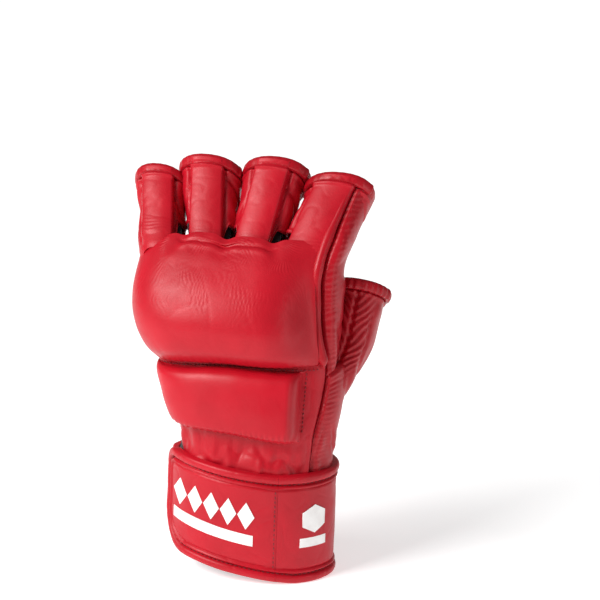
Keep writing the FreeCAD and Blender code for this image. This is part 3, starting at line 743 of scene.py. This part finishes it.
def move_vertices(piece, places):
    piece.data.vertices.foreach_set("co", places.astype(np.float32).ravel())
    piece.data.update()


def inflate(piece, rows, columns, cap_mm, pressure, slack):
    """Cloth simulation of a pad: the crown is free, its border and the side on the hand are pinned."""
    pinned = piece.vertex_groups.new(name="pinned")
    count = len(piece.data.vertices)
    before = vertex_values(piece, "co")
    border = set(border_loop(rows, columns)) | set(range(rows * columns, count))
    pinned.add(sorted(border), 1.0, "REPLACE")
    sim = piece.modifiers.new("cloth", "CLOTH")
    sim.settings.vertex_group_mass = "pinned"
    sim.settings.use_pressure = True
    sim.settings.uniform_pressure_force = pressure
    sim.settings.effector_weights.gravity = 0.0
    sim.settings.shrink_min = slack
    sim.settings.tension_stiffness = 20.0
    sim.settings.compression_stiffness = 20.0
    sim.settings.bending_stiffness = 2.0
    sim.point_cache.frame_start, sim.point_cache.frame_end = 1, SIM_FRAMES
    for step in range(1, SIM_FRAMES + 1):
        bpy.context.scene.frame_set(step)
    apply_modifier(piece, sim)
    bpy.context.scene.frame_set(1)
    move = vertex_values(piece, "co") - before
    far = np.linalg.norm(move, axis=1, keepdims=True)
    move *= np.minimum(1.0, cap_mm * MM / np.maximum(far, 1e-9))
    move_vertices(piece, before + move)


def displace(piece, depth_at):
    """Moves every vertex along its normal by a depth in millimetres that depends on its place."""
    spots = vertex_values(piece, "co").astype(float) / MM
    move_vertices(piece, (spots + vertex_values(piece, "normal") * depth_at(spots)[:, None]) * MM)


def crotch_dip(x):
    return sum(hump(x, crotch[0], 4.5) for crotch in CROTCHES) * 2.2


def crotch_pleats(spots):
    """Fine pleats that fan out over the pad from the three finger crotches."""
    reach, depth, spokes = 16.0, 0.42, 44
    total = np.zeros(len(spots))
    wobble = waves(spots, 7.0, 3)
    patchy = smooth_step(waves(spots, 9.0, 5), -0.9, 0.7)
    for x, z in CROTCHES:
        dx, dz = spots[:, 0] - x, spots[:, 2] - z
        far = np.hypot(dx, dz)
        spoke = np.sin(np.arctan2(dz, dx) * spokes + wobble * 3.0)
        total -= depth * np.exp(-far / reach) * smooth_step(far, 3.0, 8.0) * patchy * np.abs(spoke) ** 5
    return total * smooth_step(-spots[:, 1], -8.0, 2.0)


def make_pad(name, profile, columns, section, sim, depth, nodes):
    """A pad from its sections up the hand: swollen as cloth, made finer, and given its relief."""
    sections = [section(share, thick) for share, thick in profile]
    grid, under = (np.array(side) for side in zip(*sections))
    pad = slab(name, grid, under, False, RED)
    inflate(pad, len(profile), columns, **sim)
    finer = pad.modifiers.new("finer", "SUBSURF")
    finer.levels = finer.render_levels = 2
    apply_modifier(pad, finer)
    displace(pad, depth)
    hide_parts(*nodes)
    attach(pad, "hand")


def knuckle_pad():
    across = np.linspace(0, 1, 96)

    def section(share, thick):
        z_guess = PAD_LOW + (PAD_TOP - PAD_LOW) * np.clip(share, 0, 1)
        right = angle_at(seam_x(z_guess) - WELT_OFFSET - PAD_GAP, z_guess)
        turn = PAD_ULNAR_END + (right - PAD_ULNAR_END) * across
        x = on_hand(turn, z_guess)[:, 0]
        low, high = knuckle_low(x), PAD_TOP - 10.0 * smooth_step(-x, 40.0, 70.0)
        z = low + (high - low) * share - 1.2 * crotch_dip(x) * smooth_step(share, 0.8, 1.0)
        ulnar = smooth_step(across, -0.05, 0.46) ** 0.9
        radial = 1.0 - 0.72 * smooth_step(across, 0.72, 1.0)
        out = np.where(thick > 0, thick * ulnar * radial, thick * (0.35 + 0.65 * ulnar))
        return on_hand(turn, z, out), on_hand(turn, np.clip(z, low + 0.2, None), np.minimum(out, 0.0) - 0.4)

    def depth(spots):
        x, z = spots[:, 0], spots[:, 2]
        pucker = hump(z, knuckle_low(x) + 1.0, 3.5) * np.sin(x * 1.7) * 0.09
        broad = 0.4 * waves(spots, 34.0, 1) + 0.08 * waves(spots, 11.0, 2) + 0.07 * creases(spots, 15.0, 4)
        arch = STRIP_SEAM_Z - crotch_dip(x) * 0.8
        under_strips = smooth_step(x, -46.0, -40.0) * smooth_step(-x, -12.0, -4.0)
        second = under_strips * (hump(z, arch, 0.7) - 0.5 * hump(z, arch - 2.0, 1.1))
        return crotch_pleats(spots) + pucker + broad - second

    sim = {"cap_mm": 3.0, "pressure": 4.0, "slack": -0.015}
    make_pad("knuckle_pad", curve_through(KNUCKLE_PROFILE, 46), 96, section, sim, depth,
             ("knuckle_cover", "knuckle_foam"))


def bar_low(x, below):
    """Height of the lower edge of the bar under the knuckle pad, or of a line below it."""
    return BAR_LOW - below + 2.5 * smooth_step(-x, -30.0, 20.0)


def metacarpal_pad():
    across = np.linspace(0, 1, 90)

    def section(share, thick):
        z_guess = BAR_LOW + BAR_HEIGHT * share
        start = PAD_ULNAR_END + 3.0
        turn = start + (angle_at(BAR_RADIAL_X, z_guess) - start) * across
        x = on_hand(turn, z_guess)[:, 0]
        low, high = bar_low(x, 1.0), knuckle_low(x) - BAR_GAP
        z = low + (high - low) * share
        ulnar = smooth_step(across, -0.05, 0.42) ** 0.8
        radial = (1 - smooth_step(across, 0.87, 1.0)) ** 0.8
        under = on_hand(turn, np.clip(z, low + 0.2, high - 0.2), -0.4)
        return on_hand(turn, z, thick * ulnar * radial), under

    def depth(spots):
        broad = 0.35 * waves(spots, 24.0, 11) + 0.1 * waves(spots, 8.0, 12)
        pucker = hump(spots[:, 2], BAR_LOW + 1.0, 3.0) * np.sin(spots[:, 0] * 1.9 + broad * 6) * 0.18
        return broad + pucker

    sim = {"cap_mm": 1.6, "pressure": 3.0, "slack": -0.01}
    make_pad("metacarpal_pad", curve_through(METACARPAL_PROFILE, 34), 90, section, sim, depth,
             ("metacarpal_cover", "metacarpal_foam"))


# ------------------------------------------------------------------ skins of the hand
def gather(spots, from_z=92.0, to_z=66.0):
    """Upright folds where the leather is drawn in above the strap."""
    fade = smooth_step(-spots[..., 2], -from_z, -to_z)
    folds = 0.9 * waves(spots, 7.5, 51, (1, 1, 3.0)) + 1.1 * creases(spots, 10.0, 52, (1, 1, 2.2), 0.35)
    return fade * (folds + 0.35 * waves(spots, 3.0, 53, (1, 1, 3.0)))


def seam_dip(distance, depth=1.5, width=1.0):
    return -depth * hump(distance, 0.0, width)


def back_skin():
    share = np.linspace(0, 1, 130)[None, :]
    # at the little-finger edge the leather stops above the strap, and the elastic shows
    low = SKIN_LOW + 16.5 * smooth_step(-share, -0.40, -0.1)
    z = low + (SKIN_TOP - low) * upward(150)
    right = angle_at(seam_x(z) - 0.3, z)
    grid = on_hand(ULNAR_SEAM + (right - ULNAR_SEAM) * share, z)
    left_far, right_far = edge_distances(grid)[:2]
    relief = gather(grid) + 0.3 * waves(grid, 15.0, 54) + 0.2 * creases(grid, 7.0, 55)
    fold = hump(grid[..., 0] + 33.0 + (grid[..., 2] - 76.0) * 0.5, 0.0, 3.2) * hump(grid[..., 2], 73.0, 7.0)
    relief += seam_dip(right_far) + seam_dip(left_far) - 1.5 * fold
    settle(skin("back_skin", grid, False, RED, relief), "red_leather", WRIST_BEND, "back_panel")


def thenar(spots, angle):
    """The swelling of the palm side out of which the thumb comes."""
    return 5.5 * hump(angle, 112.0, 24.0) * hump(spots[..., 2], 106.0, 17.0)


def thumb_seam(share, drop=0.0):
    """Height of the curved seam across the thumb's base."""
    return THUMB_SEAM_Z - drop + 5.0 * np.sin(np.pi * share) - 3.0 * share


def thumb_base_skin():
    """The lower side panel, from the strap to the curved seam across the thumb's base."""
    share = np.linspace(0, 1, 110)[None, :]
    z = SKIN_LOW + (thumb_seam(share) - SKIN_LOW) * upward(84)
    left = angle_at(seam_x(z) + 0.3, z)
    angle = left + (SIDE_SEAM - left) * share
    grid = on_hand(angle, z)
    left_far, _, _, high_far = edge_distances(grid)
    soft = 0.6 * waves(grid, 15.0, 56)
    relief = thenar(grid, angle) + gather(grid) + soft + 0.25 * creases(grid, 15.0, 57, (1, 1, 0.6), 0.4)
    relief += 0.16 * np.sin(grid[..., 2] * 2.6 + 2.0 * waves(grid, 10.0, 58)) * hump(left_far, 4.0, 6.0)
    relief += seam_dip(left_far) + seam_dip(high_far, 1.6, 1.2)
    settle(skin("thumb_base_skin", grid, False, RED_SOFT, relief), "red_leather", WRIST_BEND, "wrist_sleeve")


def along_index(z):
    """Roughly how far along the index finger's sheath a height on its side is."""
    return (z - 176.0) / 0.8


def index_turn(z, offset):
    """Degrees round the index finger's sheath at which its back is this far from the middle line."""
    share = offset / half_width("index", along_index(z))
    return np.degrees(np.arcsin(share ** (DIGIT_SQUARENESS / 2.0)))


def hand_to_index(z, hand, finger):
    """Goes over from a place on the hand to one on the index finger, by height."""
    mix = smooth_step(z, 156.0, 186.0)[..., None]
    return hand * (1 - mix) + finger * mix


def side_skin():
    """The upper side panel: from the thumb's base up the side of the index finger to its mouth."""
    share = np.linspace(0, 1, 84)[None, :]
    low = thumb_seam(share, 1.0)
    z = low + (SIDE_TOP - low) * upward(120)
    left = angle_at(seam_x(z) + 0.3, z)
    hand = on_hand(left + (SIDE_SEAM - left) * share, z, 1.2 * smooth_step(z, 113.0, 135.0))
    start = index_turn(z, STRIP_EDGE)
    angle = start + (SIDE_TURN - start) * share
    along = np.minimum(along_index(z), mouth_end("index", angle) + 0.6)
    grid = hand_to_index(z, hand, on_digit("index", angle, along, 1.5))
    left_far, right_far, low_far, _ = edge_distances(grid)
    puffs = 0.8 * waves(grid, 17.0, 61, (1, 1, 1.6)) + 0.35 * creases(grid, 22.0, 62, (1, 1, 0.5), 0.4)
    ripples = np.sin(grid[..., 2] * 2.2 + 2.0 * waves(grid, 10.0, 63)) * hump(left_far, 3.0, 5.0) * 0.18
    edge = smooth_step(left_far, 0.0, 4.0)
    relief = 1.6 * hump(left_far, 5.0, 4.0) * smooth_step(-z, -196.0, -176.0) + puffs * edge + ripples
    relief = relief + seam_dip(left_far) + seam_dip(low_far, 1.6, 1.2) + seam_dip(right_far, 1.8, 1.4)
    settle(skin("side_skin", grid, False, RED_SOFT, relief), "red_leather", INDEX_BEND, "thumb_side_panel")


def welt_path():
    """The line of the padded welt, from under the knuckle pad to the index finger's mouth."""
    z = np.linspace(117.0, 203.5, 150)
    hand = on_hand(angle_at(seam_x(z) - WELT_OFFSET, z), z, 1.6)
    turn = index_turn(z, STRIP_EDGE - WELT_OFFSET)
    return hand_to_index(z, hand, on_digit("index", turn, along_index(z), 0.6))


def swept(name, path, outward, widths, heights, material):
    """A soft bead along a path: half widths and heights along it, closed at both ends."""
    sides = 20
    forward = np.gradient(path, axis=0)
    forward /= np.linalg.norm(forward, axis=1, keepdims=True)
    up = outward - forward * (outward * forward).sum(axis=1, keepdims=True)
    up /= np.linalg.norm(up, axis=1, keepdims=True)
    aside = np.cross(forward, up)
    turn = np.linspace(0, 2 * math.pi, sides, endpoint=False)[None, :, None]
    ring = aside[:, None] * (np.cos(turn) * widths[:, None, None])
    ring = ring + up[:, None] * (np.sin(turn) * heights[:, None, None])
    return make_piece(name, (path[:, None] + ring).reshape(-1, 3), tube_faces(len(path), sides), material)


def make_welt():
    path = welt_path()
    outward = np.array([0.35, -0.92, 0.15]) + np.zeros_like(path)
    place = np.linspace(0, 1, len(path))
    taper = smooth_step(place, 0.0, 0.06) * (1 - 0.55 * smooth_step(place, 0.75, 1.0))
    waver = 1 + 0.1 * waves(path, 7.0, 71)
    bead = swept("padded_welt", path, outward, 2.5 * taper * waver + 0.2, 2.3 * taper * waver + 0.2, RED_SOFT)
    settle(bead, "red_leather", INDEX_BEND, "pad_edge_welt")


# ------------------------------------------------------------------ palm
def opening_edge(turn, inset=0.0):
    """Angle round the hand and height of the palm opening's edge."""
    side, up = oval(turn, OPENING["half_x"] - inset, OPENING["half_z"] - inset, 2.2)
    z = OPENING["z"] + up
    return angle_at(OPENING["x"] + side, z, palm=True), z


def palm_skin():
    inner_angle, inner_z = opening_edge(around(300))
    low_angle, high_angle = SIDE_SEAM - 1.5, 360.0 + ULNAR_SEAM + 1.0
    low_z, high_z = SKIN_LOW, PALM_TOP
    middle_angle, middle_z = inner_angle.mean(), OPENING["z"]
    way_a, way_z = inner_angle - middle_angle, inner_z - middle_z
    with np.errstate(divide="ignore"):
        reach_a = np.where(way_a > 0, high_angle - middle_angle, middle_angle - low_angle) / np.abs(way_a)
        reach_z = np.where(way_z > 0, high_z - middle_z, middle_z - low_z) / np.abs(way_z)
    reach = np.minimum(reach_a, reach_z)
    share = upward(64)
    angle = inner_angle * (1 - share) + (middle_angle + way_a * reach) * share
    z = inner_z * (1 - share) + (middle_z + way_z * reach) * share
    grid = on_hand(angle, z)
    relief = gather(grid, 78.0, 62.0) + 0.8 * waves(grid, 20.0, 81) + 0.5 * creases(grid, 12.0, 82)
    relief += thenar(grid, angle) - 2.5 * smooth_step(z, PALM_TOP - 4.0, PALM_TOP)
    relief += seam_dip(high_angle - angle, 1.2, 1.0)
    # the grid runs the other way round, so its normals point inwards
    normal, depth = -grid_normals(grid, True), relief[..., None]
    piece = slab("palm_skin", grid + normal * (depth - LEATHER), grid + normal * depth, True, RED)
    settle(piece, "red_leather", WRIST_BEND, "palm_panel")


# the rolls round the palm opening: inset from its edge and outset from the hand
OPENING_ROLL = [(-4.4, 0.1), (-3.2, 1.3), (-2.0, 0.5), (-1.0, 0.9), (0.6, 1.9), (2.2, 1.3), (2.8, -0.4),
                (2.0, -2.0), (0.4, -2.4), (-1.6, -1.8), (-4.0, -1.2), (-4.4, 0.1)]


def opening_binding():
    """Two rolled edges round the palm opening, with a stitched channel between them."""
    columns = 260
    turn = around(columns)
    profile = curve_through(OPENING_ROLL, 40)[:-1]
    inset, out = profile[:, :1], profile[:, 1:]
    out = out + 0.12 * np.sin(np.radians(turn) * 46) * (inset > 0)
    grid = on_hand(*opening_edge(turn, inset), out)
    faces = ring_faces(len(profile), columns).tolist()
    piece = make_piece("opening_rolled_edge", grid.reshape(-1, 3), faces, RED_ROLLED)
    settle(piece, "red_leather_binding", "hand", "palm_opening_binding")
    for row, inset in (("outer", -5.4), ("inner", -1.9)):
        line = opening_edge(np.linspace(0, 360, 500), inset)
        sew("opening_stitches_" + row, on_hand, line, 0.75, 3.0, 2.5, "hand")


def grip_bar():
    """A rolled bar under the ring and middle fingers that the fingertips close on."""
    line = curve_through(GRIP, 70)
    z = GRIP_Z + line[:, 1]
    angle = angle_at(line[:, 0], z, palm=True)
    path = on_hand(angle, z, 1.4)
    outward = on_hand(angle, z, 6.0) - path
    place = np.linspace(0, 1, len(line))
    taper = smooth_step(place, -0.02, 0.05) * (1 - smooth_step(place, 0.95, 1.02))
    bead = swept("rolled_grip_bar", path, outward, 2.7 * taper + 0.2, 2.5 * taper + 0.2, RED_ROLLED)
    settle(bead, "red_leather", "hand", "grip_bar")
    stitches("grip_stitches", on_hand(angle, z - 4.6, 0.7)[3:-3], outward[3:-3], 2.6, "hand")


# ------------------------------------------------------------------ strap
def on_strap(angle, z, out=0.0):
    """Point on the strap's face in a heading round the wrist."""
    t = np.radians(angle)
    a, b = STRAP_HALF[0] + out, STRAP_HALF[1] + out
    reach = 1.0 / np.hypot(np.sin(t) / a, np.cos(t) / b)
    return np.stack(np.broadcast_arrays(np.sin(t) * reach, -np.cos(t) * reach, np.asarray(z, float)), axis=-1)


def strap_run(start, end, count):
    """Headings from start to end at even steps along the strap."""
    fine = np.linspace(start, end, 721)
    run = run_along(on_strap(fine, 0.0))
    return np.interp(np.linspace(0, run[-1], count), run, fine)


def strap_low(x):
    """The lower edge, which rises towards the free end."""
    return np.maximum(0.0, (TIP_RISE_X - np.asarray(x, float)) * TIP_BOTTOM_RISE)


def strap_relief(distance, spots):
    """Rolled edge, a stitched channel, a thin second roll, a plain channel, then the flat face."""
    bead = 1.5 * np.sqrt(np.clip(1 - (distance / EDGE_ROLL - 1) ** 2, 0, 1))
    thin = 0.8 * hump(distance, STITCH_INSET + 1.4, 0.85)
    channel = -0.8 * hump(distance, STITCH_INSET, 0.55) - 0.6 * hump(distance, STITCH_INSET + 2.8, 0.55)
    soft = 0.18 * waves(spots, 12.0, 91) + 0.12 * creases(spots, 8.0, 92)
    return bead + thin + channel + soft - 0.25 * smooth_step(-distance, -7.0, -4.6)


def strap_panel(name, angles, low, high, distance=None, tucked=0.0):
    """A run of the strap between its lower and upper edges. Where it is tucked, it is thin and deeper in."""
    rows = 120
    z = low + (high - low) * upward(rows)
    base = on_strap(angles, z, -3.7 * tucked)
    normal = grid_normals(on_strap(angles, 60.0 * upward(rows)), False)
    from_edge = distance(z) if distance else np.minimum(z - low, high - z)
    relief = strap_relief(from_edge, base) * (1 - 0.85 * tucked)
    inner = on_strap(angles, z, -STRAP_THICK - 1.9 * tucked)
    return slab(name, base + normal * relief[..., None], inner, False, RED)


def tip_edges(angles):
    """Lower and upper edge of the free end along its headings, as if its corners were square."""
    x = on_strap(angles, 0.0)[:, 0]
    low = (TIP_RISE_X - x) * TIP_BOTTOM_RISE
    return low, STRAP_HEIGHT + (on_strap(TIP_START, 0.0)[0] - x) * TIP_TOP_RISE


def corner_lift(run, radius):
    """How far a rounded corner draws the edge in, by the distance from the end."""
    inside = np.clip(radius - run, 0, radius)
    return 0.98 * (radius - np.sqrt(np.maximum(radius ** 2 - inside ** 2, 0.0)))


def strap_bend(inner, outer, heading):
    """Where the strap peels: the bodies, and two places a few millimetres apart for a bend that is not set
    up.
    """
    return inner, outer, on_strap(heading, 30.0) * MM, on_strap(heading - FOLD_TURN, 30.0) * MM


FREE_END_BEND = strap_bend("strap_wrap", "strap_tip", TIP_START)


SIDE_RUN_BEND = strap_bend("cuff", "strap_wrap", BASE_START)


def strap_tip():
    columns = 190
    angles = strap_run(TIP_END, TIP_START - 0.1, columns)
    run = run_along(on_strap(angles, 0.0))
    flat_low, flat_high = tip_edges(angles)
    low = flat_low + corner_lift(run, TIP_RADII["bottom"])
    high = flat_high - corner_lift(run, TIP_RADII["top"])

    def distance(z):
        from_end = np.broadcast_to(run, z.shape)
        near = np.minimum(np.minimum(z - flat_low, flat_high - z), from_end)
        for edge, height in (("bottom", z - flat_low), ("top", flat_high - z)):
            radius = TIP_RADII[edge]
            in_corner = (from_end < radius) & (height < radius)
            near = np.where(in_corner, radius - np.hypot(radius - from_end, radius - height), near)
        return np.maximum(near, 0.0)

    piece = strap_panel("strap_free_end", angles, low, high, distance)
    settle(piece, "red_leather", FREE_END_BEND, "strap_tip_panel", "strap_tip_edge")
    first = np.searchsorted(run, STITCH_INSET)
    under = [(angles[i], flat_low[i] + stitch_inset(run[i], "bottom")) for i in range(columns - 1, first, -1)]
    over = [(angles[i], flat_high[i] - stitch_inset(run[i], "top")) for i in range(first, columns)]
    sew("free_end_stitches", on_strap, np.array(under + over).T, STITCH_SINK, 2.0, 2.5, FREE_END_BEND)
    down = np.linspace(9.0, STRAP_HEIGHT - 8.0, 60)
    sew("free_end_cross_stitches", on_strap, (TIP_START - 2.2, down), 0.05, 2.0, 2.6, FREE_END_BEND)


def stitch_inset(from_end, edge):
    """How far inside the free end's square edge its stitching runs, also round a corner."""
    radius = TIP_RADII[edge]
    if from_end >= radius:
        return STITCH_INSET
    round_corner = math.sqrt(max((radius - STITCH_INSET) ** 2 - (radius - from_end) ** 2, 0.0))
    return max(STITCH_INSET, radius - round_corner)


def sew_strap_edges(name, angles, low, high, tucked, moves):
    for row, z in (("low", low + STITCH_INSET), ("high", high - STITCH_INSET)):
        sew(name + row, on_strap, (angles, z), STITCH_SINK - 3.4 * tucked, 2.0, 2.5, moves)


def strap_wrap():
    angles = strap_run(TIP_START + 0.1, BASE_START - 0.3, 130)
    low = strap_low(on_strap(angles, 0.0)[:, 0])
    high = np.full(len(angles), STRAP_HEIGHT)
    piece = strap_panel("strap_side_run", angles, low, high)
    settle(piece, "red_leather", SIDE_RUN_BEND,
           "strap_wrap_panel", "strap_wrap_top_edge", "strap_wrap_bottom_edge")
    sew_strap_edges("side_run_stitches_", angles, low, high, 0.0, SIDE_RUN_BEND)


def strap_base():
    angles = strap_run(BASE_START, BASE_END + TUCK_TURN, 340)
    low = UNDER_TIP_RISE * smooth_step(angles, 205.0, 262.0)
    high = np.full(len(angles), STRAP_HEIGHT)
    tucked = smooth_step(angles, BASE_END - 14.0, BASE_END + 2.0)
    piece = strap_panel("strap_sewn_run", angles, low, high, tucked=tucked)
    settle(piece, "red_leather", "cuff", "strap_base_panel", "strap_base_top_edge", "strap_base_bottom_edge")
    sew_strap_edges("sewn_run_stitches_", angles, low, high, tucked, "cuff")


def cuff_heights(x, inset, rows):
    """The cuff's lower edge, which rises beneath the free end, and the heights up from it."""
    least = CUFF_LOW + inset
    low = np.maximum(least, strap_low(x) * smooth_step(-x, 5.0, 40.0) * 1.25 + least)
    return low, low + (CUFF_HIGH - inset - low) * upward(rows)


def gauntlet():
    """The cuff under the strap: leather with its lining, a rolled hem, and an elastic panel let in."""
    out = -STRAP_THICK - 2.4
    for name, ends, columns, material, slot, nodes in (
            ("cuff_leather", (-78.0, 252.0), 220, RED, "red_leather", ("gauntlet_shell", "gauntlet_hem")),
            ("cuff_elastic_panel", (252.2, 281.8), 40, ELASTIC, "black_elastic", ("cuff_elastic",))):
        angles = strap_run(*ends, columns)
        x = on_strap(angles, 0.0)[:, 0]
        low, z = cuff_heights(x, 0.0, 60)
        grid = on_strap(angles, z, out)
        hem = 0.9 * np.sqrt(np.clip(1 - ((z - low - 1.8) / 1.8) ** 2, 0, 1)) if material is RED else 0.3
        hem = hem * (1 - smooth_step(-x, 0.0, 18.0))
        relief = hem + 0.3 * waves(grid, 10.0, 93, (1, 1, 2.0))
        settle(skin(name, grid, False, material, relief, LEATHER + 0.6), slot, "cuff", *nodes)
    angles = around(120)
    z = cuff_heights(on_strap(angles, 0.0)[..., 0], 1.0, 16)[1]
    inside = skin("cuff_fabric_lining", on_strap(angles, z, out - LEATHER - 0.7), True, LINING, 0.0, 0.8)
    settle(inside, "black_lining", "cuff", "gauntlet_lining")


def printed_marks():
    """A plain printed pattern on the free end: a row of lozenges over a bar, following its slope."""
    shapes = [(-34.2 + column * 9.8, 42.0, 4.6, 7.6, True) for column in range(5)]
    shapes.append((-14.8, 28.6, 23.8, 3.0, False))
    points, faces = [], []
    for x0, z0, half_x, half_z, lozenge in shapes:
        u, v = np.meshgrid(np.linspace(-1, 1, 40), np.linspace(-1, 1, 10))
        if lozenge:
            u, v = (u + v) / 2, (v - u) / 2
        x = x0 + u * half_x
        z = z0 + v * half_z - (x + 17.0) * TIP_BOTTOM_RISE
        part = x / STRAP_HALF[0]
        heading = np.degrees(np.arctan2(x, STRAP_HALF[1] * np.sqrt(1 - part ** 2)))
        spots, quads = closed_sheet(on_strap(heading, z, PRINT_PROUD), on_strap(heading, z, -0.8), False)
        faces += [[len(points) + k for k in quad] for quad in quads]
        points += spots.tolist()
    settle(make_piece("strap_printed_marks", points, faces, INK), "white_print", "strap_tip", "strap_print")


# ------------------------------------------------------------------ wrist elastic, seams, kept pieces
def wrist_band():
    """The elastic inside the wrist, seen where the leather lifts beside the strap's free end."""
    angle = around(220)
    grid = on_hand(angle, np.linspace(56.0, 84.0, 30)[:, None], -2.6)
    relief = 0.35 * np.sin(np.radians(angle) * 110) + 0.4 * waves(grid, 12.0, 95)
    piece = skin("wrist_elastic_band", grid, True, ELASTIC, relief, 0.8)
    settle(piece, "black_elastic", WRIST_BEND, "wrist_elastic")


def pad_seams():
    x = np.linspace(-52.0, 36.5, 240)
    z = knuckle_low(x) - 2.3
    sew("knuckle_seam_stitches", on_hand, (angle_at(x, z), z), 0.9, 3.0, 2.2, "hand", 1.5)
    z = np.linspace(84.0, 116.0, 80)
    sew("bar_end_stitches", on_hand, (angle_at(BAR_RADIAL_X + 1.0, z), z), 0.35, 3.0, 2.2, "hand", 1.5)
    x = np.linspace(-34.0, 30.0, 150)
    z = bar_low(x, 1.6)
    sew("bar_low_stitches", on_hand, (angle_at(x, z), z), 0.4, 3.0, 2.2, WRIST_BEND, 1.5)


def finish_kept_nodes():
    """Materials of the design's own pieces that stay as they are."""
    finishes = {
        "loop_patch": HOOK, "hook_patch": HOOK, "strap_base_backing": WEBBING, "hand_lining": LINING,
        "side_print": INK,
    }
    for name, material in finishes.items():
        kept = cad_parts[name]
        kept.data.materials.clear()
        kept.data.materials.append(material)


add_camera()
add_studio()
knuckle_pad()
metacarpal_pad()
back_skin()
thumb_base_skin()
side_skin()
make_welt()
palm_skin()
opening_binding()
grip_bar()
for finger in ("little", "ring", "middle", "index"):
    make_finger(finger)
make_thumb()
strap_tip()
strap_wrap()
strap_base()
gauntlet()
printed_marks()
wrist_band()
pad_seams()
finish_kept_nodes()
